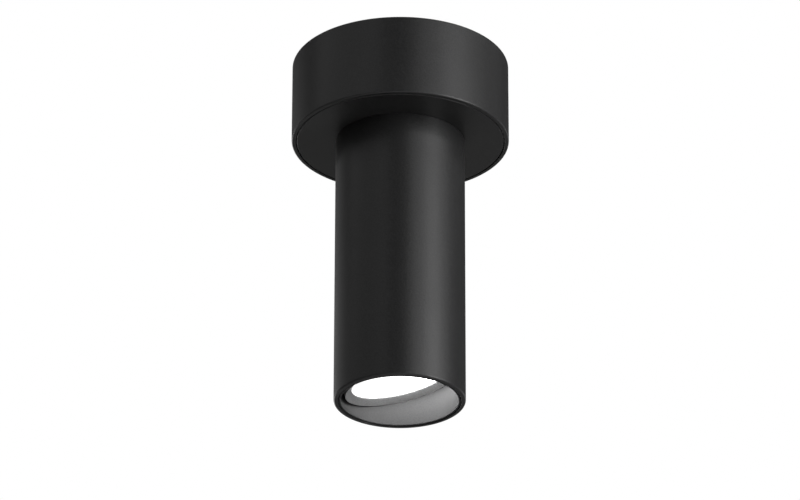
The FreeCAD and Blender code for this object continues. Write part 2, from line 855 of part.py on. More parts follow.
def tube_top_cap():
    """Disc in the tube's top, threaded for the nipple, with a hole for the pin that stops it turning."""
    cap = turned([
        (0, cap_bottom), (tube_bore - running_clearance, cap_bottom),
        (tube_bore - running_clearance, canopy_bottom), (0, canopy_bottom)])
    holes = [rod(nipple_radius + thread_clearance, cap_bottom - overrun, canopy_bottom + overrun)]
    holes.append(rod(
        turn_pin_radius, canopy_bottom - turn_pin_depth, canopy_bottom + overrun, 0, -turn_pin_offset))
    return cut_all(cap, holes + around(cap_screw_hole(), port_angles))


def tube_cap_screws():
    screw = countersunk_screw(
        cap_screw_radius, cap_screw_length, cap_screw_head_radius, cap_screw_head_depth)
    return group(around(moved(screw, port_pitch_radius, 0, canopy_bottom), port_angles))


def anti_turn_pin():
    return rod(
        turn_pin_radius, canopy_bottom - turn_pin_depth, canopy_bottom + turn_pin_depth,
        0, -turn_pin_offset)


def tube_body():
    """Extruded tube with three screw ports, turned out below them for the sleeve."""
    wall = turned([
        (tube_bore, mouth, tube_inner_edge_round), (tube_radius, mouth, tube_mouth_round),
        (tube_radius, canopy_bottom, tube_top_round), (tube_bore, canopy_bottom)])
    port = rod(port_radius, bulkhead_top, cap_bottom, port_pitch_radius)
    web = block(
        port_pitch_radius, tube_bore + tube_wall / 2, -port_radius, port_radius, bulkhead_top, cap_bottom)
    port = port.fuse(web).common(rod(tube_bore + tube_wall / 2, bulkhead_top, cap_bottom))
    port_hole = rod(
        cap_screw_radius + thread_clearance, bulkhead_top - overrun, cap_bottom + overrun,
        port_pitch_radius)
    return cut_all(fuse_all(wall, around(port, port_angles)), around(port_hole, port_angles))


def bulkhead():
    """Plate screwed under the ports, with the bearing hole of the swivel."""
    plate = ring(
        tube_bore - slip_clearance, swivel_bush_radius + running_clearance,
        bulkhead_bottom, bulkhead_top)
    screw_hole = countersunk_hole(
        cap_screw_radius, bulkhead_screw_length, cap_screw_head_radius, cap_screw_head_depth,
        thread_clearance)
    screw_hole.rotate(ORIGIN, Vector(1, 0, 0), 180)
    screw_holes = around(moved(screw_hole, port_pitch_radius, 0, bulkhead_bottom), port_angles)
    pin_hole = rod(
        stop_pin_radius, bulkhead_bottom - overrun, bulkhead_bottom + stop_pin_seat, -stop_pin_orbit)
    return cut_all(plate, screw_holes + [in_rotor(pin_hole)])


def bulkhead_screws():
    screw = countersunk_screw(
        cap_screw_radius, bulkhead_screw_length, cap_screw_head_radius, cap_screw_head_depth)
    screw.rotate(ORIGIN, Vector(1, 0, 0), 180)
    return group(around(moved(screw, port_pitch_radius, 0, bulkhead_bottom), port_angles))


def bulkhead_stop_pin():
    """Pin that hangs from the bulkhead and ends the sleeve's turn."""
    return in_rotor(rod(
        stop_pin_radius, rotor_top + stop_pin_gap, bulkhead_bottom + stop_pin_seat, -stop_pin_orbit))


def rotor_stop_pin():
    """Pin on the rotor plate, half a turn away from the bulkhead's pin."""
    return in_rotor(rod(
        stop_pin_radius, rotor_top - stop_pin_seat, bulkhead_bottom - stop_pin_gap, stop_pin_orbit))


def swivel_spring_washer():
    """Dished spring washer that presses the bulkhead between the nut and the slide washer."""
    inner = swivel_bush_radius + running_clearance
    outer = spring_washer_radius
    low = bulkhead_top
    return turned([
        (outer, low), (outer, low + spring_washer_thickness),
        (inner, low + spring_washer_thickness + spring_washer_rise), (inner, low + spring_washer_rise)])


def swivel_nut():
    nut = hexagon(swivel_nut_flats, swivel_nut_bottom, swivel_nut_bottom + swivel_nut_thickness)
    return in_rotor(nut.cut(rod(
        swivel_bush_radius + thread_clearance, swivel_nut_bottom - overrun,
        swivel_nut_bottom + swivel_nut_thickness + overrun)))


def swivel_slide_washer():
    return ring(
        slide_washer_radius, swivel_bush_radius + running_clearance, rotor_top, bulkhead_bottom)


def swivel_bush():
    """Hollow bolt: its flange carries the rotor plate and its shank turns in the bulkhead."""
    return turned([
        (nipple_bore_radius, swivel_bush_bottom), (swivel_bush_flange_radius, swivel_bush_bottom),
        (swivel_bush_flange_radius, rotor_bottom), (swivel_bush_radius, rotor_bottom),
        (swivel_bush_radius, swivel_bush_top), (nipple_bore_radius, swivel_bush_top)])


def rotor_plate():
    """Disc in the sleeve's top, scalloped to reach the bulkhead's screws."""
    plate = ring(rotor_radius, swivel_bush_radius, rotor_bottom, rotor_top)
    scallop = rod(rotor_scallop_radius, rotor_bottom - overrun, rotor_top + overrun, port_pitch_radius)
    pin_hole = rod(stop_pin_radius, rotor_top - stop_pin_seat, rotor_top + overrun, stop_pin_orbit)
    cutters = around(scallop, port_angles) + around(bayonet_pin(), bayonet_angles) + [pin_hole]
    return in_rotor(cut_all(plate, cutters))


def bayonet_pin():
    """Pin from the rotor plate's rim into the sleeve's slot."""
    start = rotor_radius - bayonet_pin_seat
    reach = sleeve_radius - sleeve_wall / 4 - start
    centre = (rotor_bottom + rotor_top) / 2
    return Part.makeCylinder(bayonet_pin_radius, reach, Vector(start, 0, centre), Vector(1, 0, 0))


def bayonet_pins():
    return group([in_rotor(pin) for pin in around(bayonet_pin(), bayonet_angles)])


def bayonet_slot():
    """L-shaped slot in the sleeve: down from its top edge, then round to the pin."""
    width = bayonet_pin_radius + running_clearance
    centre = (rotor_bottom + rotor_top) / 2
    start = rotor_radius - sleeve_wall
    reach = sleeve_radius + overrun - start
    seat = Part.makeCylinder(width, reach, Vector(start, 0, centre), Vector(1, 0, 0))
    turn = Part.makeCylinder(
        start + reach, 2 * width, Vector(0, 0, centre - width), UP, bayonet_turn)
    turn = turn.cut(rod(start, centre - width, centre + width))
    entry = block(start, start + reach, -width, width, centre, bulkhead_bottom)
    return seat.fuse([turn, turned_about_z(entry, bayonet_turn)])


def inner_sleeve():
    """Thin sleeve that turns in the tube and carries the lamp head on two pivots."""
    low = mouth + sleeve_mouth_recess
    high = bulkhead_bottom - sleeve_top_gap
    wall = turned([
        (sleeve_bore, low, sleeve_mouth_round), (sleeve_radius, low, sleeve_mouth_round),
        (sleeve_radius, high), (sleeve_bore, high)])
    pivot_hole = Part.makeCylinder(
        tilt_pin_radius + running_clearance, 2 * (sleeve_radius + overrun),
        Vector(0, -sleeve_radius - overrun, pivot_height), Vector(0, 1, 0))
    return in_rotor(cut_all(wall, [pivot_hole] + around(bayonet_slot(), bayonet_angles)))


def lamp_housing():
    """Cup of the lamp head: flared front lip, seat for the diffuser and tapered back.

    Its rim is barrel-shaped about the pivot, so that it runs close to the sleeve at every tilt, and
    a recess in the rim takes the washer of each pivot."""
    wall_taper = (head_radius - head_top_radius) / (head_height - head_cylinder_height)
    flange_low = head_height - head_flange_thickness
    inner_top = head_radius - wall_taper * (flange_low - head_cylinder_height) - head_wall
    cup = turned([
        (head_throat_radius, diffuser_low), (head_throat_radius, -head_throat_depth),
        (head_lip_radius - head_lip_land, -head_lip_depth), (head_lip_radius, -head_lip_depth),
        (head_rim_radius, 0), (head_radius, head_cylinder_height), (head_top_radius, head_height),
        (head_flange_radius, head_height), (head_flange_radius, flange_low),
        (inner_top, flange_low), (head_bore, head_cylinder_height), (head_bore, diffuser_low)])
    recess = Part.makeCylinder(
        pivot_recess_radius, head_rim_gap + head_rim_radius - pivot_face, Vector(0, pivot_face, 0),
        Vector(0, 1, 0))
    pin_hole = Part.makeCylinder(
        tilt_pin_thread_radius + thread_clearance, 2 * pivot_face + 2 * overrun,
        Vector(0, -pivot_face - overrun, 0), Vector(0, 1, 0))
    screw_hole = rod(
        fine_screw_radius + thread_clearance, flange_low - overrun, head_height + overrun,
        sink_screw_pitch_radius)
    recesses = around(recess, (0, 180))
    return in_head(cut_all(cup, recesses + [pin_hole] + around(screw_hole, sink_screw_angles)))


def tilt_pivot_pins():
    """Two slotted shoulder screws, threaded into the cup and turning in the sleeve's holes."""
    end = sleeve_radius - tilt_pin_inset
    thread_end = pivot_face - tilt_pin_thread_length
    shoulder = Part.makeCylinder(
        tilt_pin_radius, end - pivot_face, Vector(0, pivot_face, 0), Vector(0, 1, 0))
    thread = Part.makeCylinder(
        tilt_pin_thread_radius, pivot_face - thread_end, Vector(0, thread_end, 0), Vector(0, 1, 0))
    slot = block(
        -tilt_pin_radius, tilt_pin_radius, end - tilt_pin_slot_depth, end + overrun,
        -tilt_pin_slot_width / 2, tilt_pin_slot_width / 2)
    pin = shoulder.fuse(thread).cut(slot)
    return group([in_head(copy) for copy in around(pin, (0, 180))])


def tilt_washers():
    """Friction washers between the cup's recesses and the sleeve."""
    disc = Part.makeCylinder(
        tilt_washer_radius, tilt_washer_thickness, Vector(0, pivot_face, 0), Vector(0, 1, 0))
    hole = Part.makeCylinder(
        tilt_pin_radius + running_clearance, 2 * overrun + tilt_washer_thickness,
        Vector(0, pivot_face - overrun, 0), Vector(0, 1, 0))
    return group([in_head(copy) for copy in around(disc.cut(hole), (0, 180))])


def diffuser():
    return in_head(rod(head_bore - slip_clearance, diffuser_low, diffuser_high))


def diffuser_gasket():
    return in_head(ring(
        head_bore - slip_clearance, head_throat_radius, diffuser_high, gasket_high))


def reflector():
    """Bright bowl from the diffuser's gasket back to the light source."""
    rim_radius = head_bore - slip_clearance
    rise = holder_low - gasket_high
    slope = (head_throat_radius - reflector_top_radius) / rise
    rim_top = gasket_high + reflector_rim_height
    outer_low = head_throat_radius - slope * reflector_rim_height + reflector_wall
    return in_head(turned([
        (head_throat_radius, gasket_high), (rim_radius, gasket_high), (rim_radius, rim_top),
        (outer_low, rim_top), (reflector_top_radius + reflector_wall, holder_low),
        (reflector_top_radius, holder_low)]))


def led_holder():
    """Round holder that clamps the board to the heat sink, with a window for the light source."""
    body = rod(holder_radius, holder_low, head_height)
    half = board_side / 2 + board_play
    pocket = block(-half, half, -half, half, holder_low + holder_front_wall, head_height + overrun)
    window = rod(holder_window_radius, holder_low - overrun, head_height)
    cutters = [pocket, window]
    for side in (-1, 1):
        x = side * holder_screw_offset
        cutters.append(rod(
            fine_screw_radius + thread_clearance, holder_low - overrun, head_height + overrun, x))
        cutters.append(rod(
            fine_screw_head_radius + slip_clearance, holder_low - overrun,
            holder_low + fine_screw_head_height, x))
    cutters.append(rod(
        lamp_lead_radius + lead_play, head_height - board_thickness, head_height + overrun,
        0, lead_hole_offset))
    return in_head(cut_all(body, cutters))


def led_holder_screws():
    length = holder_thickness - fine_screw_head_height + sink_base_thickness / 2
    screw = pan_screw(fine_screw_radius, length, fine_screw_head_radius, fine_screw_head_height)
    screw.rotate(ORIGIN, Vector(1, 0, 0), 180)
    seat = holder_low + fine_screw_head_height
    return group([in_head(moved(screw, side * holder_screw_offset, 0, seat)) for side in (-1, 1)])


def thermal_pad():
    half = board_side / 2
    return in_head(block(-half, half, -half, half, head_height - thermal_pad_thickness, head_height))


def led_board():
    half = board_side / 2
    high = head_height - thermal_pad_thickness
    return in_head(block(-half, half, -half, half, high - board_thickness, high))


def led_emitter():
    high = head_height - thermal_pad_thickness - board_thickness
    return in_head(rod(emitter_radius, high - emitter_height, high))


def heat_sink():
    """Finned heat sink: round base, core and radial fins that narrow towards the top."""
    base = rod(sink_radius, head_height, sink_top)
    fin_top = sink_top + sink_fin_height
    core = rod(sink_core_radius, sink_top, fin_top)
    fin = block(
        sink_core_radius / 2, sink_radius, -sink_fin_thickness / 2, sink_fin_thickness / 2,
        sink_top, fin_top)
    envelope = Part.makeCone(
        sink_radius - sink_fin_base_inset, sink_fin_top_radius, sink_fin_height,
        Vector(0, 0, sink_top), UP)
    pitch = 360 / sink_fin_count
    fins = [fin_copy.common(envelope) for fin_copy in around(
        fin, [pitch / 2 + pitch * step for step in range(sink_fin_count)])]
    sink = fuse_all(base, [core] + fins)
    holes = around(
        rod(fine_screw_radius + thread_clearance, head_height - overrun, sink_top + overrun,
            sink_screw_pitch_radius), sink_screw_angles)
    holes += [
        rod(fine_screw_radius + thread_clearance, head_height - overrun,
            head_height + sink_base_thickness / 2 + slip_clearance, side * holder_screw_offset)
        for side in (-1, 1)]
    holes.append(rod(
        lamp_lead_radius + lead_play, head_height - overrun, sink_top + overrun, 0, lead_hole_offset))
    holes.append(block(
        -lead_clamp_length / 2 - slip_clearance, lead_clamp_length / 2 + slip_clearance,
        lead_hole_offset - lead_clamp_width / 2 - slip_clearance, sink_radius, sink_top,
        sink_top + lead_clamp_height + slip_clearance))
    return in_head(cut_all(sink, holes))


def heat_sink_screws():
    screw = pan_screw(
        fine_screw_radius, sink_screw_length, fine_screw_head_radius, fine_screw_head_height)
    screw = moved(screw, sink_screw_pitch_radius, 0, sink_top)
    return group([in_head(copy) for copy in around(screw, sink_screw_angles)])


def lead_clamp():
    """Saddle on the heat sink's base that grips the lead where it enters."""
    body = block(
        -lead_clamp_length / 2, lead_clamp_length / 2, lead_hole_offset - lead_clamp_width / 2,
        lead_hole_offset + lead_clamp_width / 2, sink_top, sink_top + lead_clamp_height)
    hole = rod(
        lamp_lead_radius, sink_top - overrun, sink_top + lead_clamp_height + overrun,
        0, lead_hole_offset)
    return in_head(body.cut(hole))


def led_tail():
    """Straight end of the lead, from above the clamp down into the holder."""
    return in_head(rod(
        lamp_lead_radius, head_height - board_thickness, sink_top + tail_height, 0, lead_hole_offset))


def swivel_lead_route():
    """From the swivel's bush to the tail: the free loop that lets the head tilt."""
    tail_end = sink_top + tail_height
    top = Vector(*lamp_route[-1])
    below_top = top.sub(Vector(0, 0, lead_loop_run))
    above_end, end = [
        in_head(Part.Vertex(0, lead_hole_offset, height)).Point
        for height in (tail_end + lead_loop_run, tail_end)]
    return [tuple(point) for point in (top, below_top, above_end, end)]


def leads():
    """Every lead of the light by name, with its arc radii printed."""
    routes = {
        "live_lead": (live_route, core_radius),
        "neutral_lead": (neutral_route, core_radius),
        "earth_lead": (earth_route, core_radius),
        "lamp_lead": (lamp_route, lamp_lead_radius),
        "swivel_lead": (swivel_lead_route(), lamp_lead_radius)}
    solids = {}
    for name, (route, radius) in routes.items():
        solid, length, radii = lead(route, radius)
        volume_share = solid.Volume / (math.pi * radius ** 2 * length)
        print(name, "length", round(length, 1), "volume share", round(volume_share, 4),
              "radii", [round(value, 1) for value in radii])
        solids[name] = solid
    return solids


def pieces():
    """Every sub-part by its name."""
    solids = {maker.__name__: maker() for maker in (
        ceiling_bracket, cable_grommet, canopy_side_screws, canopy_shell, base_plate,
        base_plate_screws, driver_case, driver_lid, driver_board, driver_transformer,
        driver_capacitors, driver_screws, terminal_block, terminal_screws, terminal_fixing_screws,
        earth_tag, earth_screw, threaded_nipple, nipple_washer, nipple_nuts, nipple_end_bush,
        tube_top_cap, tube_cap_screws, anti_turn_pin, tube_body, bulkhead, bulkhead_screws,
        bulkhead_stop_pin, swivel_spring_washer, swivel_nut, swivel_slide_washer, swivel_bush,
        swivel_end_bush, rotor_plate, rotor_stop_pin, bayonet_pins, inner_sleeve, lamp_housing,
        tilt_pivot_pins, tilt_washers, diffuser, diffuser_gasket, reflector, led_holder,
        led_holder_screws, thermal_pad, led_board, led_emitter, heat_sink, heat_sink_screws,
        lead_clamp, led_tail)}
    solids.update(leads())
    return solids


for piece_name, piece in pieces().items():
    piece.exportStep("parts/" + piece_name + ".step")
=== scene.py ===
# The looks of a black ceiling light: a round canopy, a straight tube below it, and a lamp head set back
# in the tube's mouth, which turns with its sleeve and tilts on two pins. Metres, in the frame of the
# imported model: +Z is up, the ceiling is at zero, and the light hangs down along the Z axis.

import json
import logging
import math
from abc import ABC, abstractmethod
from dataclasses import dataclass
from enum import Enum
from functools import lru_cache
from typing import Sequence

import bmesh
import bpy
import numpy as np
from mathutils import Matrix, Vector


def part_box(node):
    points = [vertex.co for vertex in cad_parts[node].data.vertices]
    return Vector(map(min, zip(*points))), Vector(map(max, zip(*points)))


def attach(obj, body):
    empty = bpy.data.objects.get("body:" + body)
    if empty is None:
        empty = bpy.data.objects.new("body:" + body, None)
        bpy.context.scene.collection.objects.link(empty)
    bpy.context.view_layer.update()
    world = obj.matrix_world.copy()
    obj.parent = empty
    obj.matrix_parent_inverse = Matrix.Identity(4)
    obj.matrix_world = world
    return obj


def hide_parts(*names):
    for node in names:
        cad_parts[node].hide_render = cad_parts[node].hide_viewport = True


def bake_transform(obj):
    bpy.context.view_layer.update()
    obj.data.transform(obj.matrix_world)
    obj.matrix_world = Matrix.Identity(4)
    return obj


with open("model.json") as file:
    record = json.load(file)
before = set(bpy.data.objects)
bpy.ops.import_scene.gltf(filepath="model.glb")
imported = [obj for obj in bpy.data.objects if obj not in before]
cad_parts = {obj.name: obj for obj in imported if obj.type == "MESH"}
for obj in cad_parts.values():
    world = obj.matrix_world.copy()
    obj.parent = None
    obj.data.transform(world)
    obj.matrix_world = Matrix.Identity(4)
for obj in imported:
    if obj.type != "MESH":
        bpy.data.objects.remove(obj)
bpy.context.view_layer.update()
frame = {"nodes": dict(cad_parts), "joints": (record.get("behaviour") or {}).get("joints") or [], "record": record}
LOG = logging.getLogger("ceiling_light")

MM = 0.001  # metres in a millimetre
QUARTER_TURN = 90.0  # degrees
TURN_STEPS = 256  # points round a turned ring
SMALL_TURN_STEPS = 64  # points round a small plan
ARC_STEPS = 8  # spans in a softened corner
EDGE_BREAK = 0.06 * MM  # radius that breaks a plain edge
HOLDING_RUN = 0.12 * MM  # distance of a holding point from its arc
HOLDING_SHARE = 0.2  # the most of the flat beside it that this distance takes
ARC_SHARE = 0.45  # the most of a side that an arc takes
CAD_WELD = 1e-6  # distance under which corners of a CAD mesh are one
WELD = 1e-7  # the same in the scene's own meshes
RAY_OFFSET = 1e-4  # radians that keep a ray off the corners of a web
NEAR_ZERO = 1e-6  # the least sine that a length is divided by
EDGE_LAYER = "edge"  # the attribute that holds the edge weights
WHITE = (1.0, 1.0, 1.0)
BLACK = (0.0, 0.0, 0.0)

Array = np.ndarray
Colour = tuple[float, float, float]
Point = tuple[float, float, float]
Socket = bpy.types.NodeSocket
Inputs = dict[str | int, object]


class Body(Enum):
    """The bodies that a piece can ride on."""

    FIXTURE = "fixture"
    SWIVEL = "swivel"
    LAMP_HEAD = "lamp_head"


class Slot(Enum):
    """The record's material slots."""

    POWDER_COAT = "black_powder_coat"
    ANODISED = "black_anodised"
    SATIN_ANODISED = "satin_anodised"
    BLACKENED_STEEL = "blackened_steel"
    ZINC_STEEL = "zinc_steel"
    SPRING_STEEL = "spring_steel"
    ALUMINIUM = "turned_aluminium"
    BRASS = "turned_brass"
    TINNED_COPPER = "tinned_copper"
    RUBBER = "black_rubber"
    WHITE_MOULDING = "white_moulding"
    NYLON = "natural_nylon"
    GREEN_BOARD = "green_board"
    COIL_TAPE = "coil_tape"
    CAPACITOR_SLEEVE = "capacitor_sleeve"
    REFLECTOR = "bright_reflector"
    OPAL = "opal_diffuser"
    CERAMIC = "white_ceramic"
    PHOSPHOR = "phosphor"
    GAP_PAD = "grey_gap_pad"
    BROWN = "brown_insulation"
    BLUE = "blue_insulation"
    GREEN_YELLOW = "green_yellow_insulation"
    LEAD_SHEATH = "black_lead_sheath"


class Marks(Enum):
    """The marks that a tool leaves on metal."""

    NONE = "none"
    TURNED = "turned"
    ROLLED = "rolled"


# Shells: stacks of rings

@dataclass
class Shell:
    """A closed surface as a stack of rings."""

    rings: Array  # points, as (rings, points in a ring, 3)
    edge: Array  # how far each ring lies on a softened edge, from 0 to 1
    closed: bool  # whether the last ring joins the first, as on a turned ring

    def moved(self, turn: Array, shift: Sequence[float] = (0.0, 0.0, 0.0)) -> "Shell":
        """The same shell after a turn by a rotation matrix, then a shift."""
        return Shell(self.rings @ turn.T + np.array(shift), self.edge, self.closed)

    def corners(self) -> tuple[Array, Array]:
        """The corners of each face: vertex numbers, and places along and round the stack.

        Returns:
            Vertex numbers as (faces, 4), and places from 0 to 1 as (faces, 4, 2).
        """
        rings, around = self.rings.shape[:2]
        steps = rings if self.closed else rings - 1
        ring, turn = np.meshgrid(np.arange(steps), np.arange(around), indexing="ij")
        ring, turn = ring.ravel(), turn.ravel()
        rows = np.stack([ring, ring + 1, ring + 1, ring], axis=1)
        columns = np.stack([turn, turn, turn + 1, turn + 1], axis=1)
        numbers = (rows % rings) * around + columns % around
        places = np.stack([columns / around, rows / max(steps, 1)], axis=2)
        return numbers, places


def full_turn(steps: int) -> Array:
    """Evenly spaced angles round a circle, in radians."""
    return np.arange(steps) * 2 * math.pi / steps


def softened_corner(before: Array, corner: Array, after: Array, radius: float) -> Array:
    """Points along one softened corner: a holding point, an arc and another holding point.

    The arc touches both sides. Its points are centre + radius (a sin((1-t)w) + b sin(tw)) / sin(w),
    where a and b point from its centre to its two ends, w is the angle between them and t goes from 0
    to 1. The holding points keep the flats flat where the shading is smooth.

    Args:
        before: the corner before, as (distance from the axis, height).
        corner: the corner itself.
        after: the corner after.
        radius: the arc's radius.

    Returns:
        Rows of (distance, height, edge weight).
    """
    back, ahead = before - corner, after - corner
    back_length, ahead_length = np.linalg.norm(back), np.linalg.norm(ahead)
    back, ahead = back / back_length, ahead / ahead_length
    half = math.acos(float(np.clip(back @ ahead, -1.0, 1.0))) / 2
    reach = min(radius / math.tan(half), ARC_SHARE * back_length, ARC_SHARE * ahead_length)
    radius = reach * math.tan(half)
    inward = (back + ahead) / np.linalg.norm(back + ahead)
    centre = corner + inward * radius / math.sin(half)
    start, end = corner + back * reach, corner + ahead * reach
    share = np.linspace(0.0, 1.0, ARC_STEPS + 1)
    sweep = math.pi - 2 * half
    first, last = (start - centre) / radius, (end - centre) / radius
    arc = centre + radius * (
        np.outer(np.sin((1 - share) * sweep), first) + np.outer(np.sin(share * sweep), last)
    ) / math.sin(sweep)
    hold_back = start + back * min(HOLDING_RUN, HOLDING_SHARE * (back_length - reach))
    hold_ahead = end + ahead * min(HOLDING_RUN, HOLDING_SHARE * (ahead_length - reach))
    weights = np.concatenate([[0.0], np.sin(math.pi * share), [0.0]])
    return np.column_stack([np.vstack([hold_back, arc, hold_ahead]), weights])


def outline(*corners: tuple[float, ...], closed: bool = True) -> Array:
    """An outline with its corners softened.

    Args:
        corners: each as (distance from the axis, height), and a softening radius other than EDGE_BREAK.
        closed: whether the last corner joins the first. The ends of an open outline aren't softened.

    Returns:
        Rows of (distance from the axis, height, edge weight).
    """
    full = [(*corner, EDGE_BREAK)[:3] for corner in corners]
    places = np.array([corner[:2] for corner in full])
    rows = []
    for index, (radius, height, soften) in enumerate(full):
        at_end = not closed and index in (0, len(full) - 1)
        if at_end or soften <= 0:
            rows.append(np.array([[radius, height, 0.0]]))
            continue
        after = places[(index + 1) % len(full)]
        rows.append(softened_corner(places[index - 1], places[index], after, soften))
    return np.vstack(rows)


def turned(profile: Array, closed: bool = True) -> Shell:
    """A turned surface: (r cos a, r sin a, z) for each row (r, z) of a profile and each angle a.

    Args:
        profile: rows of (distance from the axis, height, edge weight).
        closed: whether the profile's end joins its start.

    Returns:
        The shell.
    """
    angles = full_turn(TURN_STEPS)
    radius, height = profile[:, :1], profile[:, 1:2]
    rings = np.stack([radius * np.cos(angles), radius * np.sin(angles), height + 0 * angles], axis=2)
    return Shell(rings, profile[:, 2], closed)


def softened_ends(low: float, high: float, soften: float) -> Array:
    """The side of a prism from its lower face to its upper one, with quarter-round edges.

    Args:
        low: height of the lower face.
        high: height of the upper face.
        soften: radius of the two edges.

    Returns:
        Rows of (inset from the plan outline, height, edge weight).
    """
    angles = np.linspace(0.0, math.pi / 2, ARC_STEPS + 1)
    inset, drop = soften * (1 - np.sin(angles)), soften * (1 - np.cos(angles))
    lower = np.column_stack([inset, low + drop, np.sin(2 * angles)])
    upper = np.column_stack([inset, high - drop, np.sin(2 * angles)])[::-1]
    hold = soften + HOLDING_RUN
    side = [[0.0, low + hold, 0.0], [0.0, high - hold, 0.0]]
    return np.vstack([[hold, low, 0.0], lower, side, upper, [hold, high, 0.0]])


def upright(plan: Array, rows: Array) -> Array:
    """The rings of an upright side: the plan moved inwards by each row's inset, at that row's height.

    Args:
        plan: rows of (x, y, normal x, normal y).
        rows: rows of (inset, height, edge weight).

    Returns:
        Points as (rows, points in the plan, 3).
    """
    flat = plan[None, :, :2] - rows[:, :1, None] * plan[None, :, 2:]
    heights = np.broadcast_to(rows[:, 1:2, None], flat.shape[:2] + (1,))
    return np.concatenate([flat, heights], axis=2)


def prism(plan: Array, low: float, high: float, soften: float = EDGE_BREAK) -> Shell:
    """An upright prism, closed at both ends by a fan to the plan's middle.

    Args:
        plan: rows of (x, y, normal x, normal y), with normals that point outwards.
        low: height of the lower face.
        high: height of the upper face.
        soften: radius of its edges.

    Returns:
        The shell.
    """
    rows = softened_ends(low, high, soften)
    middle = plan[:, :2].mean(axis=0)
    poles = [np.broadcast_to([*middle, height], (1, len(plan), 3)) for height in (low, high)]
    rings = np.concatenate([poles[0], upright(plan, rows), poles[1]])
    return Shell(rings, np.concatenate([[0.0], rows[:, 2], [0.0]]), False)


def bored_prism(plan: Array, bore: Array, low: float, high: float) -> Shell:
    """An upright prism with a hole through it, as one closed ring of rings.

    Args:
        plan: the outer outline's rows of (x, y, normal x, normal y).
        bore: the hole's, with as many points, whose normals point into the hole.
        low: height of the lower face.
        high: height of the upper face.

    Returns:
        The shell.
    """
    rows = softened_ends(low, high, EDGE_BREAK)
    rings = np.concatenate([upright(plan, rows), upright(bore, rows[::-1])])
    return Shell(rings, np.concatenate([rows[:, 2], rows[::-1, 2]]), True)


def hole_plan(radius: float, pitch: float) -> Array:
    """A round hole about (pitch, 0): its middle + radius (cos a, sin a), and normals towards its middle.

    Args:
        radius: the hole's radius.
        pitch: distance of its middle from the axis.

    Returns:
        Rows of (x, y, normal x, normal y).
    """
    angles = full_turn(SMALL_TURN_STEPS)
    outward = np.column_stack([np.cos(angles), np.sin(angles)])
    return np.hstack([np.array([pitch, 0.0]) + radius * outward, -outward])


def rectangle_plan(x_low: float, x_high: float, half_width: float, soften: float) -> Array:
    """A rectangle with quarter-round corners, from one quarter arc round each corner's own middle.

    Args:
        x_low: its nearer side.
        x_high: its farther side.
        half_width: half its width along Y.
        soften: radius of its corners.

    Returns:
        Rows of (x, y, normal x, normal y).
    """
    quarter = SMALL_TURN_STEPS // 4
    angles = np.linspace(0.0, math.pi / 2, quarter)
    angles = (angles[None, :] + np.arange(4)[:, None] * math.pi / 2).ravel()
    normals = np.column_stack([np.cos(angles), np.sin(angles)])
    side_x = np.repeat([1, -1, -1, 1], quarter)
    side_y = np.repeat([1, 1, -1, -1], quarter)
    middles = np.column_stack([
        (x_low + x_high) / 2 + side_x * ((x_high - x_low) / 2 - soften), side_y * (half_width - soften)])
    return np.hstack([middles + soften * normals, normals])


def web_plan(pitch: float, radius: float, reach: float) -> Array:
    """A round boss that runs out into the wall: the nearest of circle, two flats and the wall's arc.

    From the boss's middle at (pitch, 0), a ray at angle a meets the boss's circle at its radius, on the
    side away from the wall. On the wall's side it meets the flats at radius / |sin a|, and the arc of
    radius reach about the axis at sqrt(reach^2 - pitch^2 sin^2 a) - pitch cos a.

    Args:
        pitch: distance of the boss's middle from the axis.
        radius: radius of the boss, and half the width of its web.
        reach: how far the web goes into the wall.

    Returns:
        Rows of (x, y, normal x, normal y).
    """
    angles = full_turn(SMALL_TURN_STEPS) + RAY_OFFSET
    cosine, sine = np.cos(angles), np.sin(angles)
    flats = radius / np.maximum(np.abs(sine), NEAR_ZERO)
    arc = np.sqrt(reach ** 2 - (pitch * sine) ** 2) - pitch * cosine
    length = np.where(cosine > 0, np.minimum(flats, arc), radius)
    points = np.column_stack([pitch + length * cosine, length * sine])
    along = np.roll(points, -1, axis=0) - np.roll(points, 1, axis=0)
    normals = np.column_stack([along[:, 1], -along[:, 0]])
    return np.hstack([points, normals / np.linalg.norm(normals, axis=1, keepdims=True)])


def turn_about_z(angle: float) -> Array:
    """Rotation matrix for a turn in degrees about +Z."""
    cosine, sine = math.cos(math.radians(angle)), math.sin(math.radians(angle))
    return np.array([[cosine, -sine, 0.0], [sine, cosine, 0.0], [0.0, 0.0, 1.0]])


def turn_about_y(angle: float) -> Array:
    """Rotation matrix for a turn in degrees about +Y."""
    cosine, sine = math.cos(math.radians(angle)), math.sin(math.radians(angle))
    return np.array([[cosine, 0.0, sine], [0.0, 1.0, 0.0], [-sine, 0.0, cosine]])


# Finishes

def tinted(colour: Colour, share: float) -> Colour:
    """A colour with each channel times a share."""
    return tuple(channel * share for channel in colour)


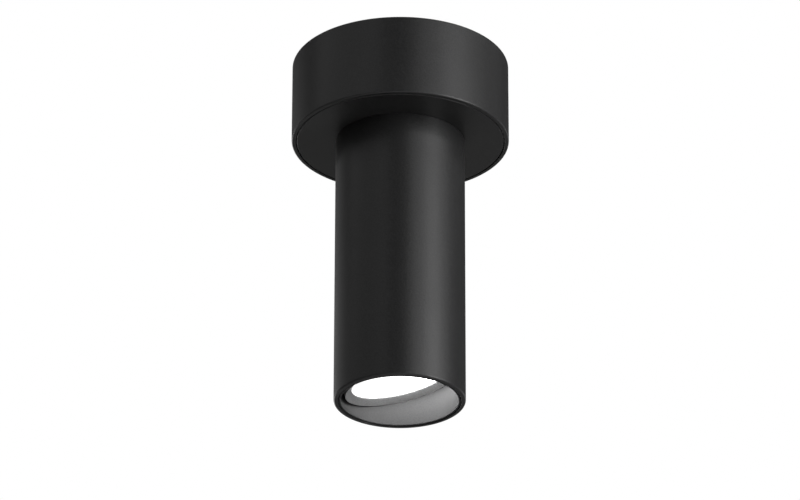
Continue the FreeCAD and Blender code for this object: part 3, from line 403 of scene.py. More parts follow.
class NodeSheet:
    """A material's node tree, with short ways to add and join its nodes."""

    def __init__(self, name: str) -> None:
        """Starts a material of that name."""
        self.material = bpy.data.materials.new(name)
        self.material.use_nodes = True
        self.tree = self.material.node_tree
        self.shader = self.tree.nodes["Principled BSDF"]
        self.place = self.add("ShaderNodeTexCoord").outputs["Object"]

    def feed(self, node: bpy.types.Node, inputs: Inputs) -> None:
        """Joins sockets to a node's inputs, or writes plain values on them.

        Args:
            node: the node that takes them.
            inputs: an output socket or a plain value for each input's name or number.
        """
        for socket, value in inputs.items():
            if isinstance(value, Socket):
                self.tree.links.new(value, node.inputs[socket])
            else:
                node.inputs[socket].default_value = value

    def add(self, kind: str, inputs: Inputs | None = None, **options: object) -> bpy.types.Node:
        """Adds a node.

        Args:
            kind: the node's type.
            inputs: what its inputs take, as in feed.
            options: its own settings.

        Returns:
            The node.
        """
        node = self.tree.nodes.new(kind)
        for name, value in options.items():
            setattr(node, name, value)
        self.feed(node, inputs or {})
        return node

    def calculate(self, operation: str, first: object, second: object) -> Socket:
        """The result of a sum, product or other operation on two values."""
        return self.add("ShaderNodeMath", {0: first, 1: second}, operation=operation).outputs[0]

    def noise(self, size: float, detail: float = 2.0, place: Socket | None = None) -> Socket:
        """Cloudy noise, from 0 to 1.

        Args:
            size: width of its patches.
            detail: how many finer layers it has.
            place: the coordinates that it reads, or None for the object's own.

        Returns:
            Its output.
        """
        inputs = {"Vector": place or self.place, "Scale": 1.0 / size, "Detail": detail}
        return self.add("ShaderNodeTexNoise", inputs).outputs["Fac"]

    def spread(self, value: Socket, low: float, high: float, start: float = 0.3, end: float = 0.7) -> Socket:
        """Maps a value from one range to another, and holds it at the ends.

        Args:
            value: the output that it reads.
            low: what it gives at start.
            high: what it gives at end.
            start: the range's start.
            end: the range's end.

        Returns:
            Its output.
        """
        inputs = dict(enumerate((value, start, end, low, high)))
        return self.add("ShaderNodeMapRange", inputs).outputs["Result"]

    def mix(self, factor: Socket, first: object, second: object) -> Socket:
        """Mixes two colours.

        Args:
            factor: 0 for the first, 1 for the second.
            first: a colour or an output.
            second: a colour or an output.

        Returns:
            The mixed colour's output.
        """
        first, second = ((*value, 1.0) if isinstance(value, tuple) else value for value in (first, second))
        return self.add("ShaderNodeMix", {0: factor, 6: first, 7: second}, data_type="RGBA").outputs[2]

    def from_axis(self) -> Socket:
        """The distance from the Z axis: the length of the place times (1, 1, 0)."""
        flat = self.add("ShaderNodeVectorMath", {0: self.place, 1: (1.0, 1.0, 0.0)}, operation="MULTIPLY")
        return self.add("ShaderNodeVectorMath", {0: flat.outputs[0]}, operation="LENGTH").outputs["Value"]

    def paint(self, factor: Socket, colour: Colour, dim: float) -> None:
        """Colours the surface, from the colour times dim where the factor is 0 to the whole colour."""
        self.feed(self.shader, {"Base Color": self.mix(factor, tinted(colour, dim), colour)})

    def gloss(self, grain: Socket, roughness: float, swing: float, clouds: Socket | None = None,
              cloud_swing: float = 0.0) -> None:
        """Sets the roughness, which a fine grain and broad clouds move.

        Args:
            grain: the fine noise.
            roughness: the mean roughness.
            swing: how far the grain moves it either way.
            clouds: the broad noise, or None.
            cloud_swing: how far the clouds move it either way.
        """
        value = self.spread(grain, roughness - swing, roughness + swing)
        if clouds is not None:
            value = self.calculate("ADD", value, self.spread(clouds, -cloud_swing, cloud_swing))
        self.feed(self.shader, {"Roughness": value})

    def bump(self, height: Socket, depth: float, strength: float = 1.0) -> None:
        """Bumps the surface.

        Args:
            height: the output that it reads as a height from 0 to 1.
            depth: metres from its lowest to its highest point.
            strength: how much of it shows.
        """
        bumped = self.add("ShaderNodeBump", {"Strength": strength, "Distance": depth, "Height": height})
        self.feed(self.shader, {"Normal": bumped.outputs["Normal"]})


class Finish(ABC):
    """A finish that can be put on any piece."""

    @abstractmethod
    def shade(self, sheet: NodeSheet) -> None:
        """Builds the finish's nodes.

        Args:
            sheet: the material to fill.
        """


@dataclass(frozen=True)
class BlackCoat(Finish):
    """A textured black coat: fine grain in colour, gloss and relief, and lighter at edges, partly where the coat
    thins and partly as a painted highlight.
    """

    colour: Colour  # its mean colour
    colour_swing: float  # share by which the grain lightens and darkens it
    grain: float  # width of the grain
    depth: float  # height of the grain
    roughness: float  # its mean roughness
    edge_wear_and_highlight: float = 0.12  # how far it turns to the lighter edge colour at an edge: thinner coat, and partly a painted highlight
    shine: float = 0.5  # level of its plain reflection, where 0.5 is that of clear lacquer
    swing: float = 0.05  # how far the grain moves the roughness
    cloud_grains: float = 40.0  # width of the broad clouds, in grains
    cloud_swing: float = 0.02  # how far the clouds move the roughness
    wear_and_highlight: Colour = (0.16, 0.16, 0.165)  # its colour at edges: thinner coat, and partly a painted highlight

    def shade(self, sheet: NodeSheet) -> None:
        """Grain drives the colour, roughness and relief, broad clouds vary the gloss, and edges get a lighter
        colour that is partly a painted highlight.

        Args:
            sheet: the material to fill.
        """
        grain = sheet.noise(self.grain, detail=3.0)
        clouds = sheet.noise(self.cloud_grains * self.grain)
        dark, light = (tinted(self.colour, 1 + side * self.colour_swing) for side in (-1, 1))
        colour = sheet.mix(sheet.spread(grain, 0.0, 1.0), dark, light)
        # painted highlight: the edge weights lighten the colour on softened edges, partly for thinner coat and
        # partly standing in for the highlight along the lips
        edge = sheet.add("ShaderNodeAttribute", attribute_name=EDGE_LAYER)
        wear_and_highlight = sheet.spread(edge.outputs["Fac"], 0.0, self.edge_wear_and_highlight, 0.0, 1.0)
        sheet.feed(sheet.shader, {
            "Base Color": sheet.mix(wear_and_highlight, colour, self.wear_and_highlight), "Specular IOR Level": self.shine})
        sheet.gloss(grain, self.roughness, self.swing, clouds, self.cloud_swing)
        sheet.bump(grain, self.depth)


@dataclass(frozen=True)
class BareMetal(Finish):
    """Bare or plated metal with tool marks and slight blotches."""

    colour: Colour  # its colour
    roughness: float  # its mean roughness
    marks: Marks = Marks.NONE  # which marks it has
    pitch: float = 0.12 * MM  # distance between marks
    depth: float = 0.004 * MM  # depth of the marks
    metallic: float = 1.0  # how far it reflects as a metal
    swing: float = 0.05  # how far the marks move the roughness
    strength: float = 0.6  # how much of the marks' depth shows
    stretch: Point = (0.04, 1.0, 1.0)  # the rolled marks' scale, which draws them out along X
    blotch: float = 4 * MM  # width of the blotches
    blotch_swing: float = 0.04  # how far they move the roughness
    dull: float = 0.86  # how light the dull blotches are

    def shade(self, sheet: NodeSheet) -> None:
        """Marks in the relief and gloss, blotches in the colour and gloss.

        Args:
            sheet: the material to fill.
        """
        place = sheet.place
        if self.marks is Marks.TURNED:
            split = sheet.add("ShaderNodeSeparateXYZ", {0: place})
            place = sheet.add("ShaderNodeCombineXYZ", {0: sheet.from_axis(), 2: split.outputs[2]}).outputs[0]
        if self.marks is Marks.ROLLED:
            place = sheet.add("ShaderNodeMapping", {"Vector": place, "Scale": self.stretch}).outputs[0]
        marks = sheet.noise(self.pitch, place=place)
        blotches = sheet.noise(self.blotch, detail=4.0)
        sheet.paint(sheet.spread(blotches, 0.0, 1.0), self.colour, self.dull)
        sheet.feed(sheet.shader, {"Metallic": self.metallic})
        sheet.gloss(marks, self.roughness, self.swing, blotches, self.blotch_swing)
        sheet.bump(marks, self.depth, self.strength)


@dataclass(frozen=True)
class Moulding(Finish):
    """Moulded plastic, rubber, ceramic or a soft pad: a spark-eroded grain and slight shade changes."""

    colour: Colour  # its colour
    roughness: float  # its mean roughness
    grain: float = 0.25 * MM  # width of its grain
    depth: float = 0.006 * MM  # height of its grain
    glow: float = 0.0  # how much light spreads inside it
    glow_reach: float = 2 * MM  # how far that light goes
    swing: float = 0.06  # how far the grain moves the roughness
    cloud: float = 12 * MM  # width of the clouds
    dim: float = 0.9  # how light the darkest cloud is

    def shade(self, sheet: NodeSheet) -> None:
        """Grain in the relief and gloss, broad clouds in the shade.

        Args:
            sheet: the material to fill.
        """
        grain = sheet.noise(self.grain)
        sheet.paint(sheet.spread(sheet.noise(self.cloud), 0.0, 1.0), self.colour, self.dim)
        sheet.gloss(grain, self.roughness, self.swing)
        if self.glow:
            sheet.feed(sheet.shader, {"Subsurface Weight": self.glow, "Subsurface Scale": self.glow_reach})
        sheet.bump(grain, self.depth)


@dataclass(frozen=True)
class StripedSheath(Finish):
    """Insulation with a stripe along it, on the lead's own map."""

    ground: Colour  # colour of most of the sheath
    stripe: Colour  # colour of the stripe
    stripe_share: float  # share of the way round that the stripe takes
    roughness: float  # its mean roughness
    blur: float = 0.004  # half the width over which the stripe's edge fades, as a share of the way round
    grain: float = 0.3 * MM  # width of its grain
    depth: float = 0.004 * MM  # height of its grain
    swing: float = 0.05  # how far the grain moves the roughness

    def shade(self, sheet: NodeSheet) -> None:
        """The map's first axis goes round the lead, so a step on it makes two opposite stripes.

        Args:
            sheet: the material to fill.
        """
        lead_map = sheet.add("ShaderNodeUVMap", uv_map="UVMap")
        split = sheet.add("ShaderNodeSeparateXYZ", {0: lead_map.outputs[0]})
        quarter = 0.25
        twice = sheet.calculate("PINGPONG", split.outputs[0], quarter)
        edge = quarter * self.stripe_share
        step = sheet.spread(twice, 1.0, 0.0, edge - self.blur, edge + self.blur)
        sheet.feed(sheet.shader, {"Base Color": sheet.mix(step, self.ground, self.stripe)})
        grain = sheet.noise(self.grain)
        sheet.gloss(grain, self.roughness, self.swing)
        sheet.bump(grain, self.depth)


@dataclass(frozen=True)
class BoardMask(Finish):
    """Solder mask over copper tracks: square cells of track and gap under a glossy mask."""

    mask: Colour  # colour of the mask over bare board
    track: Colour  # colour of the mask over copper
    pitch: float  # width of a track's cell
    disorder: float = 0.35  # how far the cells stray from a grid
    track_start: float = 0.26  # distance from a cell's middle where its track starts to fade
    track_end: float = 0.3  # where it has faded
    relief: float = 0.03 * MM  # height of the tracks
    roughness: float = 0.3  # its mean roughness
    swing: float = 0.06  # how far broad clouds move it
    cloud: float = 2 * MM  # width of the clouds

    def shade(self, sheet: NodeSheet) -> None:
        """Blocky cells choose track or gap, and raise the tracks a little.

        Args:
            sheet: the material to fill.
        """
        cells = sheet.add("ShaderNodeTexVoronoi", distance="CHEBYCHEV", feature="F1")
        sheet.feed(cells, {"Vector": sheet.place, "Scale": 1.0 / self.pitch, "Randomness": self.disorder})
        tracks = sheet.spread(cells.outputs["Distance"], 1.0, 0.0, self.track_start, self.track_end)
        sheet.feed(sheet.shader, {"Base Color": sheet.mix(tracks, self.mask, self.track)})
        sheet.gloss(sheet.noise(self.cloud), self.roughness, self.swing)
        sheet.bump(tracks, self.relief)


@dataclass(frozen=True)
class WoundTape(Finish):
    """Tape wound round a coil, with a faint line at each turn."""

    colour: Colour  # the tape's colour
    pitch: float  # height of one turn
    waviness: float = 0.4  # how far the turns stray
    dim: float = 0.7  # how light the tape is at a turn's foot
    relief: float = 0.05 * MM  # height of a turn's edge
    roughness: float = 0.34  # its mean roughness
    swing: float = 0.06  # how far broad clouds move it
    cloud: float = 1.5 * MM  # width of the clouds

    def shade(self, sheet: NodeSheet) -> None:
        """A saw wave up the Z axis raises each turn's edge and shades its foot.

        Args:
            sheet: the material to fill.
        """
        wave_unit = 20 / (2 * math.pi)
        scale = 1.0 / (wave_unit * self.pitch)
        turns = sheet.add("ShaderNodeTexWave", bands_direction="Z", wave_profile="SAW")
        sheet.feed(turns, {"Vector": sheet.place, "Scale": scale, "Distortion": self.waviness})
        sheet.paint(turns.outputs["Fac"], self.colour, self.dim)
        sheet.gloss(sheet.noise(self.cloud), self.roughness, self.swing)
        sheet.bump(turns.outputs["Fac"], self.relief)


@dataclass(frozen=True)
class LitOpal(Finish):
    """Opal plastic lit from behind, brightest on the side that the light is aimed at."""

    colour: Colour  # its colour
    light: Colour  # colour of its light
    strength: float  # how bright its brightest side shines, where 1 is white
    roughness: float  # its mean roughness
    near_line: Point = (0.0, 1.0, 0.0)  # the line along which its near side brightens
    near_start: float = -2 * MM  # where the near side starts to brighten along that line
    near_end: float = 16 * MM  # where it has its full brightness
    near_glow: float = 0.45  # share of the strength that the near side has
    aim_line: Point = (1.0, 0.4, 0.0)  # the line along which the whole disc brightens
    aim_reach: float = 20 * MM  # how far from the axis along that line the brightness changes
    aim_glow: float = 0.11  # share of the strength that is left at its far end
    grain: float = 0.2 * MM  # width of its grain
    depth: float = 0.004 * MM  # height of its grain
    swing: float = 0.05  # how far the grain moves the roughness
    cloud: float = 6 * MM  # width of the clouds
    dim: float = 0.97  # how light the darkest cloud is

    def shade(self, sheet: NodeSheet) -> None:
        """A light that rises across the disc, with a fine satin grain over it.

        A place's distance along a line is the dot product of the two, and the two rises are multiplied.

        Args:
            sheet: the material to fill.
        """
        rises = []
        for line, share, start, end in (
                (self.near_line, self.near_glow, self.near_start, self.near_end),
                (self.aim_line, self.aim_glow, -self.aim_reach, self.aim_reach)):
            along = sheet.add("ShaderNodeVectorMath", {0: sheet.place, 1: line}, operation="DOT_PRODUCT")
            rises.append(sheet.spread(along.outputs["Value"], share, 1.0, start, end))
        glow = sheet.mix(sheet.calculate("MULTIPLY", *rises), BLACK, self.light)
        sheet.feed(sheet.shader, {"Emission Color": glow, "Emission Strength": self.strength})
        grain = sheet.noise(self.grain)
        sheet.paint(sheet.spread(sheet.noise(self.cloud), 0.0, 1.0), self.colour, self.dim)
        sheet.gloss(grain, self.roughness, self.swing)
        sheet.bump(grain, self.depth)


FINISHES: dict[Slot, Finish] = {
    Slot.POWDER_COAT: BlackCoat((0.02, 0.02, 0.0204), 0.26, 0.75 * MM, 0.03 * MM, 0.37),
    Slot.ANODISED: BlackCoat((0.024, 0.024, 0.0245), 0.35, 0.7 * MM, 0.035 * MM, 0.55, shine=0.35),
    Slot.SATIN_ANODISED: BlackCoat((0.24, 0.24, 0.242), 0.16, 0.7 * MM, 0.025 * MM, 0.5, edge_wear_and_highlight=0.0),
    Slot.BLACKENED_STEEL: BareMetal((0.05, 0.05, 0.052), 0.42, Marks.TURNED, metallic=0.6),
    Slot.ZINC_STEEL: BareMetal((0.5, 0.505, 0.52), 0.5, Marks.ROLLED, 0.3 * MM),
    Slot.SPRING_STEEL: BareMetal((0.42, 0.41, 0.4), 0.3, Marks.TURNED),
    Slot.ALUMINIUM: BareMetal((0.72, 0.73, 0.75), 0.32, Marks.TURNED, 0.2 * MM),
    Slot.BRASS: BareMetal((0.78, 0.6, 0.28), 0.28, Marks.TURNED, 0.15 * MM),
    Slot.TINNED_COPPER: BareMetal((0.7, 0.68, 0.64), 0.36, Marks.ROLLED, 0.2 * MM),
    Slot.RUBBER: Moulding((0.02, 0.02, 0.02), 0.72, 0.4 * MM, 0.015 * MM),
    Slot.WHITE_MOULDING: Moulding((0.8, 0.8, 0.78), 0.48, 0.35 * MM, 0.012 * MM),
    Slot.NYLON: Moulding((0.76, 0.73, 0.64), 0.42, glow=0.3),
    Slot.GREEN_BOARD: BoardMask((0.02, 0.14, 0.05), (0.05, 0.26, 0.1), 2.4 * MM),
    Slot.COIL_TAPE: WoundTape((0.78, 0.56, 0.06), 2.0 * MM),
    Slot.CAPACITOR_SLEEVE: Moulding((0.05, 0.06, 0.1), 0.24, 1.2 * MM, 0.004 * MM),
    Slot.REFLECTOR: BareMetal((0.86, 0.87, 0.89), 0.1, Marks.NONE, 1.5 * MM, 0.003 * MM),
    Slot.OPAL: LitOpal((0.9, 0.9, 0.89), WHITE, 15.0, 0.35),
    Slot.CERAMIC: Moulding((0.86, 0.86, 0.84), 0.3, 0.15 * MM),
    Slot.PHOSPHOR: Moulding((0.85, 0.62, 0.08), 0.4, 0.1 * MM, glow=0.2),
    Slot.GAP_PAD: Moulding((0.34, 0.35, 0.38), 0.78, 0.5 * MM, 0.02 * MM),
    Slot.BROWN: Moulding((0.17, 0.07, 0.03), 0.38, 0.3 * MM),
    Slot.BLUE: Moulding((0.03, 0.11, 0.45), 0.38, 0.3 * MM),
    Slot.GREEN_YELLOW: StripedSheath((0.04, 0.3, 0.04), (0.8, 0.68, 0.03), 0.45, 0.38),
    Slot.LEAD_SHEATH: Moulding((0.025, 0.025, 0.026), 0.45, 0.3 * MM),
}


@lru_cache(maxsize=None)
def material_of(slot: Slot) -> bpy.types.Material:
    """The material of a slot's finish, named after the slot and made once."""
    sheet = NodeSheet(slot.value)
    FINISHES[slot].shade(sheet)
    return sheet.material


# Pieces

def place_piece(
        name: str, mesh: bpy.types.Mesh, slot: Slot, body: Body | None, node: str) -> bpy.types.Object:
    """Dresses a mesh and puts it on its body in place of a CAD node.

    Args:
        name: the piece's name.
        mesh: its mesh.
        slot: the material slot that it takes its finish from.
        body: the body that it rides on, or None to leave it on no body.
        node: the CAD node that it stands for.

    Returns:
        The piece.
    """
    mesh.materials.append(material_of(slot))
    made = bpy.data.objects.new(name, mesh)
    bpy.context.scene.collection.objects.link(made)
    if body is not None:
        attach(made, body.value)
    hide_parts(node)
    LOG.info("%s: %d faces, stands for %s", name, len(mesh.polygons), node)
    return made


def piece(name: str, shells: Sequence[Shell], slot: Slot, body: Body | None, node: str) -> bpy.types.Object:
    """Makes one piece from its shells, with its own map and its edge weights.

    Args:
        name: the piece's name.
        shells: its closed surfaces.
        slot: the material slot that it takes its finish from.
        body: the body that it rides on, or None to leave it on no body.
        node: the CAD node that it stands for.

    Returns:
        The piece.
    """
    points, numbers, places, edges, start = [], [], [], [], 0
    for shell in shells:
        corner_numbers, corner_places = shell.corners()
        points.append(shell.rings.reshape(-1, 3))
        edges.append(np.repeat(shell.edge, shell.rings.shape[1]))
        numbers.append(corner_numbers + start)
        places.append(corner_places)
        start += len(points[-1])
    vertices, faces = np.vstack(points), np.vstack(numbers)
    mesh = bpy.data.meshes.new(name)
    mesh.vertices.add(len(vertices))
    mesh.vertices.foreach_set("co", vertices.astype(np.float32).ravel())
    mesh.loops.add(faces.size)
    mesh.loops.foreach_set("vertex_index", faces.astype(np.int32).ravel())
    mesh.polygons.add(len(faces))
    mesh.polygons.foreach_set("loop_start", np.arange(0, faces.size, 4, dtype=np.int32))
    mesh.update(calc_edges=True)
    mesh.uv_layers.new(name="UVMap").data.foreach_set("uv", np.vstack(places).astype(np.float32).ravel())
    layer = mesh.attributes.new(EDGE_LAYER, "FLOAT", "POINT")
    layer.data.foreach_set("value", np.concatenate(edges).astype(np.float32))
    closed = bmesh.new()
    closed.from_mesh(mesh)
    bmesh.ops.remove_doubles(closed, verts=closed.verts, dist=WELD)
    bmesh.ops.recalc_face_normals(closed, faces=closed.faces)
    closed.to_mesh(mesh)
    closed.free()
    mesh.shade_smooth()
    return place_piece(name, mesh, slot, body, node)


def radius_of(node: str) -> float:
    """The radius of a turned CAD node, from its box."""
    low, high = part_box(node)
    return max(high.x, high.y, -low.x, -low.y)


@dataclass
class SocketScrew:
    """A countersunk screw with a six-sided socket, along Z with its head's face at zero."""

    shank_radius: float = 2.0 * MM  # radius of its thread
    length: float = 7.5 * MM  # overall length
    tip_run: float = 0.5 * MM  # length of its tapered tip
    tip_radius: float = 1.4 * MM  # radius of that tip's end
    head_radius: float = 3.2 * MM  # radius of its head
    head_depth: float = 1.2 * MM  # depth of its cone
    head_round: float = 0.12 * MM  # radius of the head's edge
    neck: float = 0.1 * MM  # length without thread below the cone
    flats: float = 1.0 * MM  # half the socket's width across its flats
    mouth: float = 1.3 * MM  # radius of the flat round the socket
    socket_depth: float = 0.66 * MM  # depth of the socket
    socket_break: float = 0.05 * MM  # height of the breaks at its mouth and floor
    socket_taper: tuple[float, ...] = (1.0, 0.97, 0.96, 0.9, 0.0)  # its width at each row, as a share
    thread_pitch: float = 0.7 * MM  # distance between threads
    thread_depth: float = 0.22 * MM  # depth of the thread
    thread_rows: int = 60  # rows of points along the thread
    around: int = 72  # points in a ring, a multiple of six
    sink: float = 0.2 * MM  # how far its head lies below the surface

    def shell(self) -> Shell:
        """Rings up the thread and cone, in across the head, then down the six-sided socket.

        Each ring's radius at angle a is (1 - w) r + w f / cos(b), where b is a's angle from the middle
        of the nearest flat, f half the width across the flats, and w is 0 on round rings and 1 in the
        socket. The thread is a row of ridges that a triangle wave of the thread's pitch raises.

        Returns:
            The shell.
        """
        neck = -self.head_depth - self.neck
        thread = np.linspace(-self.length + self.tip_run, neck, self.thread_rows)
        wave = np.abs((thread / self.thread_pitch) % 1.0 - 0.5) * 2
        ridges = np.column_stack([self.shank_radius - self.thread_depth * wave, thread, 0 * wave])
        head = outline(
            (self.shank_radius, neck), (self.shank_radius, -self.head_depth),
            (self.head_radius, 0.0, self.head_round), (self.mouth, 0.0), closed=False)
        tip = np.array([[0.0, -self.length, 0.0], [self.tip_radius, -self.length, 0.0]])
        body = np.vstack([tip, ridges, head])
        floor = -self.socket_depth
        heights = (0.0, -self.socket_break, floor + self.socket_break, floor, floor)
        widths, weights = self.flats * np.array(self.socket_taper), (0.0, 1.0, 0.0, 0.0, 0.0)
        socket = np.column_stack([widths, heights, weights])
        rows = np.vstack([body, socket])
        sided = np.concatenate([np.zeros(len(body)), np.ones(len(socket))])[:, None]
        angles = full_turn(self.around)
        to_flat = (angles + math.pi / 6) % (math.pi / 3) - math.pi / 6
        radius = rows[:, :1] * ((1 - sided) + sided / np.cos(to_flat)[None, :])
        height = rows[:, 1:2] + 0 * radius
        rings = np.stack([radius * np.cos(angles), radius * np.sin(angles), height], axis=2)
        return Shell(rings, rows[:, 2], False)


@dataclass
class Canopy:
    """The round canopy against the ceiling, its closing plate and its side screws."""

    wall: float = 1.95 * MM  # thickness of its wall
    lip_round: float = 0.7 * MM  # radius of its outer edges
    inner_round: float = 0.12 * MM  # radius of its inner edges
    plate_chamfer: float = 0.4 * MM  # chamfer of the plate's lower edge
    chamfer_round: float = 0.1 * MM  # radius of that chamfer's edges
    plate_step: float = 1.5 * MM  # height of the plate's upper rim, which keeps light out of the gap
    plate_fit: float = 0.06 * MM  # gap that is left round that rim
    plate_hole: float = 5.05 * MM  # radius of the plate's hole for the threaded nipple
    lug_angles: tuple[float, ...] = (90.0, 210.0, 330.0)  # where the plate's screw lugs are, in degrees
    lug_reach: float = 6.5 * MM  # how far a lug stands in from the wall
    lug_width: float = 11.0 * MM  # width of a lug
    lug_height: float = 2.0 * MM  # thickness of a lug
    catch_angle: float = 270.0  # where the catch for the bracket's hook is, in degrees
    catch_reach: float = 3.35 * MM  # how far the catch stands in
    catch_width: float = 8.0 * MM  # width of the catch
    catch_low: float = -10.0 * MM  # height of the catch's lower face
    catch_high: float = -7.0 * MM  # height of its upper face
    block_corner: float = 0.6 * MM  # radius of the lugs' and the catch's corners
    block_round: float = 0.15 * MM  # radius of their edges
    screw_angles: tuple[float, ...] = (30.0, 150.0)  # where the side screws are, in degrees

    def __post_init__(self) -> None:
        """Reads the canopy's and plate's own sizes from the frame."""
        low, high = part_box("canopy_shell")
        self.radius = radius_of("canopy_shell")
        self.bottom, self.top = low.z, high.z
        self.bore = self.radius - self.wall
        self.plate_radius = radius_of("base_plate")
        self.plate_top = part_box("base_plate")[1].z

    def inner_block(self, angle: float, reach: float, width: float, low: float, high: float) -> Shell:
        """A block on the canopy's inner wall: a softened rectangle, raised and turned to its place.

        Args:
            angle: where it is round the axis, in degrees.
            reach: how far it stands in from the wall.
            width: its width along the wall.
            low: height of its lower face.
            high: height of its upper face.

        Returns:
            The shell.
        """
        plan = rectangle_plan(self.bore - reach, self.bore + self.wall / 2, width / 2, self.block_corner)
        return prism(plan, low, high, self.block_round).moved(turn_about_z(angle))

    def shell(self) -> None:
        """Makes the turned ring with three lugs for the plate and a catch for the bracket's hook."""
        ring = turned(outline(
            (self.bore, self.bottom, self.inner_round), (self.radius, self.bottom, self.lip_round),
            (self.radius, self.top, self.lip_round), (self.bore, self.top, self.inner_round)))
        lug_top = self.plate_top + self.lug_height
        blocks = [
            self.inner_block(angle, self.lug_reach, self.lug_width, self.plate_top, lug_top)
            for angle in self.lug_angles]
        blocks.append(self.inner_block(
            self.catch_angle, self.catch_reach, self.catch_width, self.catch_low, self.catch_high))
        piece("canopy_ring", [ring, *blocks], Slot.POWDER_COAT, Body.FIXTURE, "canopy_shell")

    def plate(self) -> None:
        """Makes the flush plate that closes the canopy, with its chamfered edge, upper rim and hole."""
        step, rim = self.plate_top - self.plate_step, self.bore - self.plate_fit
        ring = turned(outline(
            (self.plate_hole, self.bottom),
            (self.plate_radius - self.plate_chamfer, self.bottom, self.chamfer_round),
            (self.plate_radius, self.bottom + self.plate_chamfer, self.chamfer_round),
            (self.plate_radius, step), (rim, step), (rim, self.plate_top), (self.plate_hole, self.plate_top)))
        piece("closing_plate", [ring], Slot.POWDER_COAT, Body.FIXTURE, "base_plate")

    def screws(self) -> None:
        """Makes the side screws, which lie across the wall."""
        screw = SocketScrew()
        low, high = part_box("canopy_side_screws")
        place = (self.radius - screw.sink, 0.0, (low.z + high.z) / 2)
        lying = screw.shell().moved(turn_about_y(QUARTER_TURN), place)
        shells = [lying.moved(turn_about_z(angle)) for angle in self.screw_angles]
        piece("side_screws", shells, Slot.BLACKENED_STEEL, Body.FIXTURE, "canopy_side_screws")

    def build(self) -> None:
        """Makes the canopy's pieces."""
        self.shell()
        self.plate()
        self.screws()


@dataclass
class CeilingPlate:
    """The bracket on the ceiling, and the rubber bush in its cable hole."""

    thickness: float = 1.5 * MM  # thickness of the bracket's sheet
    soften: float = 0.18 * MM  # radius that breaks its stamped edges
    segments: int = 3  # faces across a broken edge
    flat_angle: float = 1.0  # degrees under which two faces are one flat
    crease: float = 35.0  # degrees past which an edge is broken
    sharp_angle: float = 40.0  # degrees past which the shading stays sharp
    bore: float = 4.5 * MM  # radius of the bush's hole
    neck: float = 6.5 * MM  # radius of the bush's neck
    flange: float = 8.7 * MM  # radius of the bush's flange
    flange_thickness: float = 1.5 * MM  # thickness of that flange
    bush_rounds: tuple[float, ...] = (0.5, 0.6, 0.1, 0.05, 0.1, 0.3)  # radii of its edges, in millimetres

    def bracket(self) -> None:
        """Makes a welded copy of the CAD bracket whose sharp edges are broken."""
        mesh = frame["nodes"]["ceiling_bracket"].data.copy()
        work = bmesh.new()
        work.from_mesh(mesh)
        bmesh.ops.remove_doubles(work, verts=work.verts, dist=CAD_WELD)
        bmesh.ops.dissolve_limit(
            work, angle_limit=math.radians(self.flat_angle), verts=work.verts, edges=work.edges)
        sharp = [
            edge for edge in work.edges
            if len(edge.link_faces) == 2 and edge.calc_face_angle() > math.radians(self.crease)]
        bmesh.ops.bevel(
            work, geom=sharp, offset=self.soften, segments=self.segments, profile=0.5, affect="EDGES",
            clamp_overlap=True)
        bmesh.ops.recalc_face_normals(work, faces=work.faces)
        work.to_mesh(mesh)
        work.free()
        mesh.shade_smooth()
        mesh.set_sharp_from_angle(angle=math.radians(self.sharp_angle))
        mesh.materials.clear()
        made = place_piece("stamped_bracket", mesh, Slot.ZINC_STEEL, Body.FIXTURE, "ceiling_bracket")
        made.modifiers.new("flat_faces", "WEIGHTED_NORMAL").keep_sharp = True

    def bush(self) -> None:
        """Makes the turned rubber bush: neck in the hole, rounded flange below the plate."""
        under = -self.thickness
        low = under - self.flange_thickness
        corners = (
            (self.bore, low), (self.flange, low), (self.flange, under), (self.neck, under),
            (self.neck, 0.0), (self.bore, 0.0))
        ring = turned(outline(*((*corner, size * MM) for corner, size in zip(corners, self.bush_rounds))))
        piece("cable_bush", [ring], Slot.RUBBER, Body.FIXTURE, "cable_grommet")

    def build(self) -> None:
        """Makes the bracket and its bush."""
        self.bracket()
        self.bush()


@dataclass
class Tube:
    """The straight tube, with three screw ports inside."""

    wall: float = 2.0 * MM  # thickness of its wall
    mouth_round: float = 1.15 * MM  # radius of the mouth's outer edge
    inner_round: float = 0.2 * MM  # radius of the mouth's inner edge
    top_round: float = 0.2 * MM  # radius of the top edge
    port_angles: tuple[float, ...] = (90.0, 210.0, 330.0)  # where its screw ports are, in degrees
    port_radius: float = 3.0 * MM  # radius of a port
    port_pitch: float = 24.4 * MM  # distance of a port's middle from the axis
    port_bore: float = 1.5 * MM  # radius of a port's hole

    def build(self) -> None:
        """Makes the tube: a turned wall and three bored bosses that run out into it."""
        low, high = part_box("tube_body")
        radius = radius_of("tube_body")
        bore = radius - self.wall
        wall = turned(outline(
            (bore, low.z, self.inner_round), (radius, low.z, self.mouth_round),
            (radius, high.z, self.top_round), (bore, high.z)))
        plan = web_plan(self.port_pitch, self.port_radius, bore + self.wall / 2)
        hole = hole_plan(self.port_bore, self.port_pitch)
        port = bored_prism(plan, hole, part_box("bulkhead")[1].z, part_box("tube_top_cap")[0].z)
        ports = [port.moved(turn_about_z(angle)) for angle in self.port_angles]
        piece("tube_wall", [wall, *ports], Slot.POWDER_COAT, Body.FIXTURE, "tube_body")


@dataclass
class Sleeve:
    """The thin sleeve that turns inside the tube's mouth."""

    wall: float = 1.0 * MM  # thickness of its wall
    mouth_round: float = 0.3 * MM  # radius of its two mouth edges

    def build(self) -> None:
        """Makes the sleeve as a turned ring."""
        low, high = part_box("inner_sleeve")
        radius = radius_of("inner_sleeve")
        bore = radius - self.wall
        ring = turned(outline(
            (bore, low.z, self.mouth_round), (radius, low.z, self.mouth_round),
            (radius, high.z), (bore, high.z)))
        piece("turning_sleeve", [ring], Slot.ANODISED, Body.SWIVEL, "inner_sleeve")


